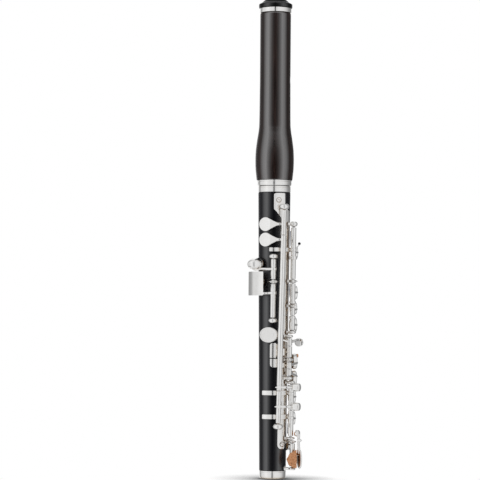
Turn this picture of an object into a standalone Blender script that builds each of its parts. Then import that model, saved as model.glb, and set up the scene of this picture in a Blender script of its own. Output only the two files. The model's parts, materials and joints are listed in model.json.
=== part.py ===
"""Wooden piccolo: a conical body with key work on posts, and a sliding head joint with a screw crown.

Sizes are millimetres in this file and become metres when a mesh is made. Heights run up the instrument from its
foot end. Angles turn about the bore: 0 is the line of the blow hole and the tone holes (+X), minus 90 is the side
that faces the player. The origin is the middle of the crown's flat top, with +Z pointing out of the crown.
"""

import math

import bmesh
import bpy
from mathutils import Matrix, Vector

MM = 0.001
LENGTH = 316.5

# Turning of the two wooden joints.
ROUND_STEPS = 30
BODY_FOOT = 5.3
BODY_SHOULDER = 187.9
BODY_FOOT_RADIUS = 8.75
BODY_TOP_RADIUS = 10.6
BORE_FOOT_RADIUS = 4.3
BORE_TOP_RADIUS = 5.5
TENON_RADIUS = 7.4
TENON_TOP = 206.0
RING_SEAT = 0.15
HEAD_FOOT = 196.1
HEAD_TOP = 306.9
SOCKET_DEPTH = 14.0
HEAD_WAIST_RADIUS = 10.1
HEAD_BULB = ((235.5, 10.3), (229.5, 10.62), (225.0, 11.28), (220.5, 11.95), (215.5, 12.5), (209.5, 12.72),
             (203.5, 12.55), (199.5, 12.15))
BLOW_HOLE_HEIGHT = 262.5
BLOW_HOLE_ACROSS = 6.0
BLOW_HOLE_ALONG = 5.0

# Key work shared by every key.
TUBE_RADIUS = 1.6
TUBE_BORE = 1.0
STEEL_RADIUS = 0.72
POST_BORE = 0.9
TUBE_STEPS = 10
CUP_STEPS = 14
CUP_HEIGHT = 2.9
CUP_SKIN = 0.45
CUP_CEILING = 0.9
PAD_DROP = 1.2
PAD_GAP = 0.12
SEAT_DEPTH = 0.8
KEY_OPENING = 15.5
THUMB_OPENING = 8.0
KICKER_LIFT = 1.1
KICKER_THICKNESS = 0.8
STRAP_THICKNESS = 0.8
STRAP_GAP = 0.1
ARM_RADIUS = 0.75
KICKER_END = -156.0

SILVER = (0.93, 0.92, 0.90, 1.0)
EBONY = (0.018, 0.017, 0.018, 1.0)
ROSEWOOD = (0.055, 0.028, 0.024, 1.0)


def body_radius(height):
    along = (height - BODY_FOOT) / (BODY_SHOULDER - BODY_FOOT)
    return BODY_FOOT_RADIUS + (BODY_TOP_RADIUS - BODY_FOOT_RADIUS) * along


def around(angle, radius, height):
    """A point at this angle and radius about the bore, this far above the foot end."""
    turn = math.radians(angle)
    return Vector((radius * math.cos(turn), radius * math.sin(turn), height - LENGTH))


class Rod:
    """A hinge line that follows the taper of the body at a fixed lift above the wood."""

    def __init__(self, low, high, low_angle, high_angle, lift):
        self.low = around(low_angle, body_radius(low) + lift, low)
        self.high = around(high_angle, body_radius(high) + lift, high)
        self.low_height = low
        self.high_height = high
        self.axis = (self.high - self.low).normalized()

    def at(self, height):
        along = (height - self.low_height) / (self.high_height - self.low_height)
        return self.low.lerp(self.high, along)

    def angle(self, height):
        point = self.at(height)
        return math.degrees(math.atan2(point.y, point.x))


UPPER_ROD = Rod(96.0, 167.0, -53.0, -53.0, 4.1)
MIDDLE_ROD = Rod(65.9, 93.4, -66.0, -66.0, 4.25)
LOWER_ROD = Rod(26.7, 63.2, -54.0, -54.0, 4.25)
E_FLAT_ROD = Rod(6.7, 24.4, -50.0, -50.0, 5.2)
THUMB_ROD = Rod(103.6, 145.5, -118.0, -117.0, 3.5)
TRILL_ROD = Rod(34.6, 178.0, -103.0, -93.0, 6.3)

# Each tone hole: its height, its angle, the hole's radius and its cup's radius.
HOLES = {
    "d_sharp_trill": (166.6, -140.5, 2.1, 4.25),
    "d_trill": (156.5, -140.5, 2.1, 4.25),
    "c": (148.6, 0.0, 2.3, 4.2),
    "b_flat_thumb": (140.8, -172.0, 2.5, 3.95),
    "b_thumb": (129.0, -170.0, 2.6, 4.4),
    "a": (122.2, 0.0, 2.9, 4.9),
    "b_flat": (111.7, 0.0, 2.7, 4.2),
    "g": (100.8, 0.0, 3.0, 5.2),
    "g_sharp": (94.2, -133.0, 2.9, 5.0),
    "f_sharp": (76.7, 0.0, 3.0, 5.2),
    "f": (65.8, 0.0, 3.0, 4.9),
    "e": (53.6, 0.0, 3.0, 5.0),
    "d": (39.4, 0.0, 3.0, 4.9),
    "e_flat": (22.5, 0.0, 3.0, 4.6),
}

# Each key's hinge tube, from its low end to its high end, and where its arm leaves it.
KEY_TUBES = {
    "d_sharp_trill": (159.6, 175.7, 166.6),
    "d_trill": (58.1, 159.2, 156.5),
    "c": (131.0, 164.7, 150.1),
    "b_flat_thumb": (130.6, 143.6, 137.2),
    "b_thumb": (105.6, 127.4, 121.6),
    "a": (114.6, 128.0, 122.2),
    "b_flat": (107.2, 112.0, 110.0),
    "g": (97.6, 106.9, 101.5),
    "g_sharp": (87.2, 92.0, 89.5),
    "side_b_flat": (79.8, 86.8, 83.0),
    "f_sharp": (72.2, 76.2, 75.0),
    "f": (67.9, 71.9, 69.8),
    "e": (45.2, 61.6, 53.6),
    "d": (28.2, 44.8, 39.9),
    "e_flat": (8.3, 23.2, 19.5),
}
D_TRILL_TOUCH = 60.2
D_SHARP_TRILL_TOUCH = 47.6
D_SHARP_TRILL_SLEEVE = (36.9, 57.7)
D_SHARP_TRILL_STEEL = (33.4, 179.2)

# The hinge steels: their rod, low end and high end.
STEELS = {
    "upper_steel": (UPPER_ROD, 95.2, 168.6),
    "middle_steel": (MIDDLE_ROD, 65.0, 94.2),
    "lower_steel": (LOWER_ROD, 25.9, 64.1),
    "e_flat_steel": (E_FLAT_ROD, 5.9, 25.0),
    "thumb_steel": (THUMB_ROD, 102.2, 146.9),
}

# The strap under the rods, and its two screws: (height, angle).
STRAP_ANGLE = -75.0
STRAP_TOP = 187.2
STRAP_FOOT = 19.5
STRAP_MIDDLE = 100.0
STRAP_SCREWS = ((182.6, -99.5), (22.7, -79.0))
SCREW_SHANK = 0.8
SCREW_DEPTH = 2.2
SCREW_HEAD = 1.95

# The posts soldered to the strap: their rod, then height, head radius, half thickness and ball or cone, and the
# angle where their stems stand.
STRAP_POSTS = (
    (UPPER_ROD, ((167.0, 2.85, 1.8, True), (129.5, 3.2, 1.1, False), (113.3, 3.1, 0.9, False),
                 (96.0, 2.6, 1.1, True)), -62.3),
    (MIDDLE_ROD, ((93.4, 2.3, 1.0, True), (78.0, 2.7, 1.0, False), (65.9, 2.4, 1.2, True)), -68.0),
    (LOWER_ROD, ((63.2, 2.5, 1.1, True), (26.7, 2.8, 0.9, True)), -63.1),
    (TRILL_ROD, ((178.0, 3.2, 1.9, True), (34.6, 3.4, 1.9, True)), -86.0),
)

# The posts that stand in the wood: rod, height, angle of the peg, head radius, half thickness and ball or cone.
PEG_RADIUS = 1.0
PEG_DEPTH = 2.4
PEG_POSTS = (
    ("thumb_post_top", THUMB_ROD, 145.5, -117.0, 2.8, 1.6, True),
    ("thumb_post_middle", THUMB_ROD, 129.0, -117.4, 3.2, 1.2, False),
    ("thumb_post_foot", THUMB_ROD, 103.6, -118.0, 2.8, 1.6, True),
    ("e_flat_post_top", E_FLAT_ROD, 24.4, -45.0, 2.5, 0.8, True),
    ("e_flat_post_foot", E_FLAT_ROD, 6.7, -48.0, 2.3, 1.0, True),
)

# The needle springs: their rod, the post they start from and where they end.
SPRINGS = {
    "c_spring": (UPPER_ROD, 162.5, 152.5),
    "a_spring": (UPPER_ROD, 127.8, 118.8),
    "d_spring": (LOWER_ROD, 29.6, 36.6),
    "e_spring": (LOWER_ROD, 61.6, 57.6),
    "b_thumb_spring": (THUMB_ROD, 106.0, 116.0),
}
SPRING_DROP = 2.3

# The E flat key's raised paddle.
PADDLE_ANGLE = -51.2
PADDLE_RADIUS = 19.3
PADDLE_HEIGHT = 13.2


# ---------------------------------------------------------------- Blender helpers

def clear_scene():
    for thing in list(bpy.data.objects):
        bpy.data.objects.remove(thing)


def new_collection(name):
    collection = bpy.data.collections.new(name)
    bpy.context.scene.collection.children.link(collection)
    return collection


def material(name, colour, roughness, metallic):
    found = bpy.data.materials.get(name)
    if found:
        return found
    made = bpy.data.materials.new(name)
    made.use_nodes = True
    shader = made.node_tree.nodes["Principled BSDF"]
    shader.inputs["Base Color"].default_value = colour
    shader.inputs["Roughness"].default_value = roughness
    shader.inputs["Metallic"].default_value = metallic
    made.diffuse_color = colour
    return made


def silver():
    return material("silver_plate", SILVER, 0.18, 1.0)


def steel():
    return material("steel", (0.62, 0.63, 0.65, 1.0), 0.25, 1.0)


def blue_steel():
    return material("blued_steel", (0.10, 0.12, 0.20, 1.0), 0.35, 1.0)


def ebony():
    return material("ebony", EBONY, 0.35, 0.0)


def rosewood():
    return material("rosewood", ROSEWOOD, 0.35, 0.0)


def cork():
    return material("cork", (0.55, 0.22, 0.07, 1.0), 0.85, 0.0)


def pad_skin():
    return material("pad_skin", (0.62, 0.42, 0.25, 1.0), 0.6, 0.0)


def link(thing, collection):
    collection.objects.link(thing)
    return thing


def bake(thing):
    """The object's evaluated mesh takes the place of its data, so a Boolean can use it."""
    bpy.context.view_layer.update()
    graph = bpy.context.evaluated_depsgraph_get()
    mesh = bpy.data.meshes.new_from_object(thing.evaluated_get(graph))
    mesh.transform(thing.matrix_world)
    baked = bpy.data.objects.new(thing.name + "_mesh", mesh)
    link(baked, WORK)
    bpy.data.objects.remove(thing)
    build = bmesh.new()
    build.from_mesh(mesh)
    bmesh.ops.remove_doubles(build, verts=build.verts, dist=1e-6)
    bmesh.ops.recalc_face_normals(build, faces=build.faces)
    build.to_mesh(mesh)
    build.free()
    return baked


def frame_matrix(origin, axis):
    """Local +Z points along the axis, and local +X points away from the bore or, for a radial axis, up it."""
    up = axis.normalized()
    guide = Vector((0.0, 0.0, 1.0)) if abs(up.z) < 0.9 else Vector((origin.x, origin.y, 0.0))
    if guide.length < 1e-6:
        guide = Vector((1.0, 0.0, 0.0))
    side = (guide - guide.dot(up) * up).normalized()
    third = up.cross(side)
    turn = Matrix((side, third, up)).transposed().to_4x4()
    return Matrix.Translation(origin * MM) @ turn


def turned(profile, origin, axis, steps, closed=False):
    """A turned shape: points are (radius, height along the axis), down the outer side first."""
    mesh = bpy.data.meshes.new("profile")
    points = [(r * MM, 0.0, h * MM) for r, h in profile]
    count = len(points)
    edges = [(i, i + 1) for i in range(count - 1)]
    if closed:
        edges.append((count - 1, 0))
    mesh.from_pydata(points, edges, [])
    thing = link(bpy.data.objects.new("turned", mesh), WORK)
    screw = thing.modifiers.new("Screw", "SCREW")
    screw.axis = "Z"
    screw.steps = steps
    screw.render_steps = steps
    screw.use_merge_vertices = True
    screw.merge_threshold = 0.00001
    thing.matrix_world = frame_matrix(origin, axis)
    return bake(thing)


def upright(profile, steps, closed=False):
    """A shape turned about the bore, with its heights measured from the foot end."""
    lowered = [(r, h - LENGTH) for r, h in profile]
    return turned(lowered, Vector((0.0, 0.0, 0.0)), Vector((0.0, 0.0, 1.0)), steps, closed)


def rod_between(start, end, radius, steps=TUBE_STEPS):
    """A plain round bar, from a cone primitive with equal ends."""
    mesh = bpy.data.meshes.new("bar")
    build = bmesh.new()
    length = (end - start).length
    bmesh.ops.create_cone(build, cap_ends=True, segments=steps, radius1=radius * MM, radius2=radius * MM,
                          depth=length * MM)
    build.to_mesh(mesh)
    build.free()
    thing = link(bpy.data.objects.new("bar", mesh), WORK)
    thing.matrix_world = frame_matrix((start + end) / 2.0, end - start)
    return bake(thing)


def wire(points, radius, resolution=1):
    """A bent round arm through these points."""
    curve = bpy.data.curves.new("wire", "CURVE")
    curve.dimensions = "3D"
    curve.bevel_depth = radius * MM
    curve.bevel_resolution = resolution
    curve.use_fill_caps = True
    spline = curve.splines.new("POLY")
    spline.points.add(len(points) - 1)
    for slot, point in zip(spline.points, points):
        slot.co = (*(point * MM), 1.0)
    thing = link(bpy.data.objects.new("wire", curve), WORK)
    return bake(thing)


def plate(outline, thickness, origin, axis):
    """A flat plate: its outline is (along local X, along local Y) and its middle is at the origin."""
    curve = bpy.data.curves.new("outline", "CURVE")
    curve.dimensions = "2D"
    curve.fill_mode = "BOTH"
    curve.extrude = thickness / 2.0 * MM
    spline = curve.splines.new("POLY")
    spline.points.add(len(outline) - 1)
    for slot, (x, y) in zip(spline.points, outline):
        slot.co = (x * MM, y * MM, 0.0, 1.0)
    spline.use_cyclic_u = True
    thing = link(bpy.data.objects.new("outline", curve), WORK)
    thing.matrix_world = frame_matrix(origin, axis)
    return bake(thing)


def combine(target, other, operation):
    modifier = target.modifiers.new("Boolean", "BOOLEAN")
    modifier.operation = operation
    modifier.solver = "EXACT"
    modifier.object = other
    bpy.context.view_layer.update()
    graph = bpy.context.evaluated_depsgraph_get()
    mesh = bpy.data.meshes.new_from_object(target.evaluated_get(graph))
    target.modifiers.clear()
    target.data = mesh
    bpy.data.objects.remove(other)
    return target


def union(target, *others):
    for other in others:
        combine(target, other, "UNION")
    return target


def cut(target, *others):
    for other in others:
        combine(target, other, "DIFFERENCE")
    return target


def swing(thing, rod, degrees):
    """Turns the mesh about a rod's line."""
    pivot = rod.low * MM
    turn = Matrix.Rotation(math.radians(degrees), 4, rod.axis)
    thing.data.transform(Matrix.Translation(pivot) @ turn @ Matrix.Translation(-pivot))
    return thing


def finish(thing, name, finish_material, pivot=None, parent=None, flat=35.0):
    """Names the sub-part, gives it its material and puts its origin on its joint's line."""
    thing.name = name
    thing.data.name = name
    build = bmesh.new()
    build.from_mesh(thing.data)
    bmesh.ops.remove_doubles(build, verts=build.verts, dist=2e-6)
    bmesh.ops.dissolve_degenerate(build, edges=build.edges, dist=2e-6)
    build.to_mesh(thing.data)
    build.free()
    if pivot is not None:
        thing.data.transform(Matrix.Translation(-pivot * MM))
        thing.location = pivot * MM
    thing.data.materials.clear()
    thing.data.materials.append(finish_material)
    for face in thing.data.polygons:
        face.use_smooth = True
    thing.data.set_sharp_from_angle(angle=math.radians(flat))
    WORK.objects.unlink(thing)
    PICCOLO.objects.link(thing)
    bpy.context.view_layer.update()
    if parent is not None:
        thing.parent = parent
        thing.matrix_parent_inverse = parent.matrix_world.inverted()
    return thing


# ---------------------------------------------------------------- wooden joints and rings

def seat_cutters():
    """For each tone hole, its bore and the flat that its pad closes on."""
    cutters = []
    for height, angle, hole, cup in HOLES.values():
        out = around(angle, 1.0, LENGTH)
        surface = body_radius(height)
        start = around(angle, 2.0, height)
        end = around(angle, surface + 3.0, height)
        cutters.append(rod_between(start, end, hole, 12))
        floor = around(angle, surface - SEAT_DEPTH, height)
        cutters.append(rod_between(floor, floor + out * 4.0, cup + 0.3, 14))
    return cutters


def peg_cutters():
    """Holes in the wood for the pegs of the posts that stand in it, and for the strap's screws."""
    cutters = []
    for _, rod, height, angle, _, _, _ in PEG_POSTS:
        base = around(angle, body_radius(height) - PEG_DEPTH - 0.4, height)
        cutters.append(rod_between(base, rod.at(height), PEG_RADIUS + 0.25, 10))
    for height, angle in STRAP_SCREWS:
        base = around(angle, body_radius(height) - SCREW_DEPTH - 0.4, height)
        cutters.append(rod_between(base, around(angle, 14.0, height), SCREW_SHANK + 0.25, 10))
    return cutters


def body_wood():
    seat = BODY_TOP_RADIUS - 0.85
    foot_seat = BODY_FOOT_RADIUS - 1.25
    profile = [
        (TENON_RADIUS - 0.3, TENON_TOP), (TENON_RADIUS, TENON_TOP - 0.6), (TENON_RADIUS, BODY_SHOULDER + 4.0),
        (seat, BODY_SHOULDER + 4.0), (seat, BODY_SHOULDER), (BODY_TOP_RADIUS, BODY_SHOULDER),
        (body_radius(120.0), 120.0), (body_radius(60.0), 60.0),
        (BODY_FOOT_RADIUS, BODY_FOOT), (foot_seat, BODY_FOOT), (foot_seat, 1.2), (BORE_FOOT_RADIUS, 1.2),
        (BORE_TOP_RADIUS, TENON_TOP),
    ]
    wood = upright(profile, ROUND_STEPS, closed=True)
    cut(wood, *seat_cutters())
    cut(wood, *peg_cutters())
    return finish(wood, "body_wood", ebony())


def body_top_ring():
    inner = BODY_TOP_RADIUS - 0.85 + RING_SEAT
    low = BODY_SHOULDER + 0.1
    high = BODY_SHOULDER + 4.2
    profile = [(inner, high), (10.5, high), (10.75, high - 0.3), (10.75, low + 0.3), (10.6, low),
               (inner, low)]
    return finish(upright(profile, ROUND_STEPS, closed=True), "body_top_ring", silver())


def foot_ring():
    inner = BODY_FOOT_RADIUS - 1.25 + RING_SEAT
    profile = [(inner, BODY_FOOT - 0.1), (8.75, BODY_FOOT - 0.1), (8.82, BODY_FOOT - 0.4), (8.75, 1.3),
               (8.5, 0.5), (8.0, 0.0), (4.6, 0.0), (4.6, 0.95), (inner, 0.95)]
    return finish(upright(profile, ROUND_STEPS, closed=True), "foot_ring", silver())


def tenon_cork():
    inner = TENON_RADIUS + RING_SEAT
    profile = [(inner, 204.8), (8.1, 204.8), (8.3, 204.2), (8.3, 193.6), (8.1, 193.0), (inner, 193.0)]
    return finish(upright(profile, ROUND_STEPS, closed=True), "tenon_cork", cork())


def head_socket():
    """The metal lining of the head's socket, with the ring that shows below the wood."""
    top = HEAD_FOOT + SOCKET_DEPTH - 0.3
    ring_top = HEAD_FOOT - 0.12
    foot = BODY_SHOULDER + 4.4
    profile = [(8.6, top), (9.25, top), (9.25, ring_top), (11.45, ring_top), (11.5, ring_top - 0.4),
               (11.1, foot + 0.3), (10.9, foot), (8.8, foot), (8.6, foot + 0.4)]
    ring = upright(profile, ROUND_STEPS, closed=True)
    return finish(ring, "head_socket", silver(), pivot=around(0.0, 0.0, foot))


def head_wood(parent):
    seat = 9.0
    socket = 9.25 + RING_SEAT
    outer = [(seat, HEAD_TOP + 2.9), (seat, HEAD_TOP), (9.75, HEAD_TOP), (10.15, HEAD_TOP - 0.9),
             (HEAD_WAIST_RADIUS, 262.0)]
    outer += [(r, h) for h, r in HEAD_BULB]
    outer += [(11.8, HEAD_FOOT)]
    inner = [(socket, HEAD_FOOT), (socket, HEAD_FOOT + SOCKET_DEPTH),
             (BORE_TOP_RADIUS, HEAD_FOOT + SOCKET_DEPTH), (BORE_TOP_RADIUS, HEAD_TOP + 2.9)]
    wood = upright(outer + inner, ROUND_STEPS, closed=True)
    mouth = rod_between(around(0.0, 3.0, BLOW_HOLE_HEIGHT), around(0.0, 14.0, BLOW_HOLE_HEIGHT), 1.0, 20)
    centre = around(0.0, 0.0, BLOW_HOLE_HEIGHT) * MM
    stretch = Matrix.Diagonal((1.0, BLOW_HOLE_ACROSS, BLOW_HOLE_ALONG, 1.0))
    mouth.data.transform(Matrix.Translation(centre) @ stretch @ Matrix.Translation(-centre))
    cut(wood, mouth)
    return finish(wood, "head_wood", rosewood(), pivot=around(0.0, 0.0, HEAD_FOOT), parent=parent)


def crown_ring(parent):
    low = HEAD_TOP + 0.1
    high = HEAD_TOP + 3.2
    profile = [(9.15, high), (10.3, high), (10.45, high - 0.2), (10.45, low + 0.2), (10.3, low), (9.15, low)]
    return finish(upright(profile, ROUND_STEPS, closed=True), "crown_ring", silver(), parent=parent)


def crown(parent):
    flange = HEAD_TOP + 3.35
    profile = [(0.0, LENGTH), (5.2, LENGTH), (6.8, LENGTH - 0.7), (8.6, LENGTH - 2.4), (10.7, LENGTH - 3.6),
               (11.05, LENGTH - 3.95), (11.05, flange + 0.3), (10.8, flange), (5.25, flange), (5.25, 304.5),
               (4.9, 304.0), (1.8, 304.0), (1.8, 312.0), (0.0, 312.0)]
    pivot = around(0.0, 0.0, flange)
    return finish(upright(profile, ROUND_STEPS), "crown", ebony(), pivot=pivot, parent=parent)


def stopper_rod(parent):
    profile = [(0.0, 311.0), (1.2, 311.0), (1.5, 310.6), (1.5, 284.4), (3.8, 284.4), (3.8, 283.0), (1.5, 283.0),
               (1.5, 271.3), (5.0, 271.3), (5.0, 270.2), (0.0, 270.2)]
    return finish(upright(profile, 16), "stopper_rod", steel(), pivot=around(0.0, 0.0, 284.0), parent=parent)


def stopper_cork(parent):
    profile = [(1.7, 282.8), (5.1, 282.8), (5.3, 282.4), (5.3, 271.9), (5.1, 271.5), (1.7, 271.5)]
    return finish(upright(profile, 20, closed=True), "stopper_cork", cork(), parent=parent)


# ---------------------------------------------------------------- strap, posts, steels and springs

def strap_outline():
    """The strap seen square on: (height, across), a tab at each end for its screw."""
    top = [(STRAP_TOP, -6.4), (STRAP_TOP, -1.4), (STRAP_TOP - 0.9, -0.5), (178.0, -0.3), (176.4, 3.6),
           (175.2, 4.1)]
    foot = [(31.2, 4.1), (29.3, 2.8)]
    foot += [(STRAP_FOOT + 3.2 - 3.2 * math.sin(a), 3.2 * math.cos(a) - 0.4) for a in
             [math.radians(30.0 * i) for i in range(7)]]
    left = [(170.8, -3.3), (177.6, -7.0), (STRAP_TOP - 0.9, -7.3)]
    return [(h - STRAP_MIDDLE, -across) for h, across in top + foot + left]


def key_strap():
    low, high = STRAP_FOOT - 4.0, BODY_SHOULDER - 0.3
    outer = STRAP_GAP + STRAP_THICKNESS
    sleeve = upright([
        (body_radius(high) + outer, high), (body_radius(low) + outer, low),
        (body_radius(low) + STRAP_GAP, low), (body_radius(high) + STRAP_GAP, high),
    ], 42, closed=True)
    out = around(STRAP_ANGLE, 1.0, LENGTH)
    blank = plate(strap_outline(), 12.0, around(STRAP_ANGLE, 12.0, STRAP_MIDDLE), out)
    combine(sleeve, blank, "INTERSECT")
    for height, angle in STRAP_SCREWS:
        start = around(angle, 5.0, height)
        cut(sleeve, rod_between(start, around(angle, 14.0, height), SCREW_SHANK + 0.25, 10))
    for rod, spec, foot_angle in STRAP_POSTS:
        for height, radius, half, ball in spec:
            foot = body_radius(height) + STRAP_GAP + STRAP_THICKNESS * 0.8
            union(sleeve, post(rod, height, radius, half, ball, foot_angle, foot, False))
    return finish(sleeve, "key_strap", silver())


def strap_screw(height, angle):
    out = around(angle, 1.0, LENGTH)
    top = body_radius(height) + STRAP_GAP + STRAP_THICKNESS + 0.35
    seat = around(angle, top, height)
    shank = top - body_radius(height) + SCREW_DEPTH
    profile = [(0.0, 0.75), (1.2, 0.7), (SCREW_HEAD, 0.3), (SCREW_HEAD, 0.0), (SCREW_SHANK, 0.0),
               (SCREW_SHANK, -shank), (0.0, -shank)]
    screw = turned(profile, seat, out, 14)
    slot_middle = seat + out * 0.75
    slot = plate([(-0.25, -3.0), (0.25, -3.0), (0.25, 3.0), (-0.25, 3.0)], 0.7, slot_middle, out)
    return cut(screw, slot)


def strap_screws():
    for name, (height, angle) in zip(("strap_screw_top", "strap_screw_foot"), STRAP_SCREWS):
        finish(strap_screw(height, angle), name, silver())


def post_head(rod, height, radius, half, ball):
    """A post's head, turned about its rod's line: a thin double cone, or a ball for an end post."""
    if ball:
        profile = [(0.0, half), (radius * 0.55, half * 0.92), (radius * 0.92, half * 0.42), (radius, 0.0),
                   (radius * 0.92, -half * 0.42), (radius * 0.55, -half * 0.92), (0.0, -half)]
    else:
        profile = [(0.0, half), (1.9, half), (radius, 0.15), (radius, -0.15), (1.9, -half), (0.0, -half)]
    return turned(profile, rod.at(height), rod.axis, 12)


def post(rod, height, radius, half, ball, foot_angle, foot_radius, peg):
    """A head on a stem. The stem stands on the strap, or goes down into the wood as a peg."""
    head = post_head(rod, height, radius, half, ball)
    foot = around(foot_angle, foot_radius, height)
    made = union(head, rod_between(foot, rod.at(height), PEG_RADIUS, 10))
    if peg:
        collar = around(foot_angle, body_radius(height) + 0.3, height)
        rise = (rod.at(height) - foot).normalized()
        union(made, rod_between(collar, collar + rise * 0.8, 1.6, 12))
    reach = rod.axis * (half + 0.6)
    return cut(made, rod_between(rod.at(height) - reach, rod.at(height) + reach, POST_BORE, 10))


def peg_posts():
    """The posts that screw straight into the wood."""
    for name, rod, height, angle, radius, half, ball in PEG_POSTS:
        foot = body_radius(height) - PEG_DEPTH
        made = post(rod, height, radius, half, ball, angle, foot, True)
        finish(made, name, silver())


def hinge_steel(name, rod, low, high):
    """The steel that a rod's keys turn on, with a slotted end."""
    shaft = rod_between(rod.at(low), rod.at(high), STEEL_RADIUS, TUBE_STEPS)
    slot = plate([(-2.0, -0.15), (2.0, -0.15), (2.0, 0.15), (-2.0, 0.15)], 0.8, rod.at(high), rod.axis)
    return finish(cut(shaft, slot), name, steel())


def hinge_steels():
    for name, (rod, low, high) in STEELS.items():
        hinge_steel(name, rod, low, high)


def needle_springs():
    """Blued needles that run beside the rods, on the side of the wood."""
    for name, (rod, start, end) in SPRINGS.items():
        inward = Vector((-rod.at(start).x, -rod.at(start).y, 0.0)).normalized() * SPRING_DROP
        finish(rod_between(rod.at(start) + inward, rod.at(end) + inward, 0.22, 6), name, blue_steel())


# ---------------------------------------------------------------- parts of a key

def hole_frame(hole):
    """The middle of the hole's pad seat, and the direction that its cup faces."""
    height, angle, _, cup = HOLES[hole]
    out = around(angle, 1.0, LENGTH)
    return around(angle, body_radius(height) - SEAT_DEPTH, height), out, cup


def cup_top(hole):
    seat, out, _ = hole_frame(hole)
    return seat + out * (PAD_GAP + PAD_DROP + CUP_HEIGHT)


def pad_cup(hole):
    """A round key cup, open towards its hole."""
    seat, out, radius = hole_frame(hole)
    rim = seat + out * (PAD_GAP + PAD_DROP)
    inner = radius - CUP_SKIN
    profile = [(0.0, CUP_HEIGHT), (radius - 0.7, CUP_HEIGHT), (radius, CUP_HEIGHT - 0.6), (radius, 0.0),
               (inner, 0.0), (inner, CUP_HEIGHT - CUP_CEILING), (0.0, CUP_HEIGHT - CUP_CEILING)]
    return turned(profile, rim, out, CUP_STEPS)


def pad(hole, rod, opening, parent):
    """The skin-covered pad that fills the cup and closes the hole."""
    seat, out, radius = hole_frame(hole)
    edge = radius - CUP_SKIN - 0.2
    high = PAD_DROP + CUP_HEIGHT - CUP_CEILING - 0.15
    profile = [(0.0, high), (edge, high), (edge, 0.35), (edge - 0.5, 0.0), (0.0, 0.0)]
    made = turned(profile, seat + out * PAD_GAP, out, CUP_STEPS)
    if opening:
        swing(made, rod, opening)
    return finish(made, hole + "_pad", pad_skin(), pivot=parent.location / MM, parent=parent)


def cup_arm(hole, rod, root, over=1.4, end_in=0.0):
    """An arm from the rod, up and over the cup's rim to the middle of its top."""
    top = cup_top(hole)
    _, out, radius = hole_frame(hole)
    start = rod.at(root)
    inward = start - top
    inward -= inward.dot(out) * out
    side = inward.normalized()
    lift = out * 0.1
    edge = top + side * (radius + 0.2) + lift
    shoulder = start.lerp(edge, 0.55) + out * over * 0.4
    return wire([start, shoulder, edge, top + side * end_in + lift], ARM_RADIUS)


def arc_plate(start, end, inner, thickness, low, high):
    """A plate bent about the bore, from one angle to the other."""
    steps = max(2, round(abs(end - start) / 15.0))
    angles = [math.radians(start + (end - start) * i / steps) for i in range(steps + 1)]
    outer = inner + thickness
    ring = [(outer * math.cos(a), outer * math.sin(a)) for a in angles]
    ring += [(inner * math.cos(a), inner * math.sin(a)) for a in reversed(angles)]
    curve_middle = Vector((0.0, 0.0, (low + high) / 2.0 - LENGTH))
    return plate(ring, high - low, curve_middle, Vector((0.0, 0.0, 1.0)))


def kicker(rod, middle, width, end_angle, lift=KICKER_LIFT):
    """A flat foot that reaches round under the trill rod and stops the key when it opens."""
    inner = body_radius(middle + width / 2.0) + lift
    start = rod.angle(middle)
    low, high = middle - width / 2.0, middle + width / 2.0
    bar = arc_plate(start + 4.0, end_angle, inner, KICKER_THICKNESS, low, high)
    foot = around(start, inner + 0.5, middle)
    return union(bar, rod_between(foot, rod.at(middle), 1.1, 10))


def key(name, rod, *pieces):
    """A key: its hinge tube joined to its cup, arms and touches, bored for the steel."""
    low, high, _ = KEY_TUBES[name]
    made = union(rod_between(rod.at(low), rod.at(high), TUBE_RADIUS), *pieces)
    cut(made, rod_between(rod.at(low - 0.5), rod.at(high + 0.5), TUBE_BORE))
    return finish(made, name + "_key", silver(), pivot=rod.at((low + high) / 2.0))


def collar(rod, height, radius=2.1, width=1.4):
    half = rod.axis * width / 2.0
    return rod_between(rod.at(height) - half, rod.at(height) + half, radius, 14)


def finger_key(hole, rod, *extra):
    """An open-standing key over a tone hole: its cup and arm are swung up to where they rest."""
    cup = union(pad_cup(hole), cup_arm(hole, rod, KEY_TUBES[hole][2]))
    made = key(hole, rod, swing(cup, rod, -KEY_OPENING), *extra)
    pad(hole, rod, -KEY_OPENING, made)


# ---------------------------------------------------------------- left-hand keys

def c_key():
    finger_key("c", UPPER_ROD, collar(UPPER_ROD, 144.8, 2.5, 2.6),
               collar(UPPER_ROD, 150.1, 2.0, 2.4), kicker(UPPER_ROD, 150.1, 2.6, -131.0))


def a_key():
    finger_key("a", UPPER_ROD, collar(UPPER_ROD, 115.6, 2.2, 1.6))


def b_flat_key():
    finger_key("b_flat", UPPER_ROD)


def g_key():
    finger_key("g", UPPER_ROD, collar(UPPER_ROD, 105.6, 2.1, 1.8))


def teardrop(hole, tip):
    """The flat face of a closed side key: a round cup drawn out to a point towards its rod."""
    top = cup_top(hole)
    _, out, radius = hole_frame(hole)
    face = frame_matrix(top, out)
    local = face.inverted() @ (tip * MM)
    heading = math.atan2(local.y, local.x)
    reach = math.hypot(local.x, local.y) / MM
    spread = math.acos(radius / reach)
    turn = 2.0 * math.pi - 2.0 * spread
    rim = [heading + spread + turn * i / 16.0 for i in range(17)]
    outline = [(radius * math.cos(a), radius * math.sin(a)) for a in rim]
    outline.append((reach * math.cos(heading), reach * math.sin(heading)))
    return plate(outline, CUP_CEILING, top - out * (CUP_CEILING / 2.0 - 0.15), out)


def side_cup(hole, rod, root, tip_angle, tip_lift):
    height = HOLES[hole][0]
    tip = around(tip_angle, body_radius(height) + tip_lift, height)
    top = cup_top(hole)
    out = hole_frame(hole)[1]
    point = tip + out * (top - tip).dot(out)
    cup = union(pad_cup(hole), teardrop(hole, tip))
    return cup, point.lerp(top, 0.25) - out * 0.3, rod.at(root)


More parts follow.
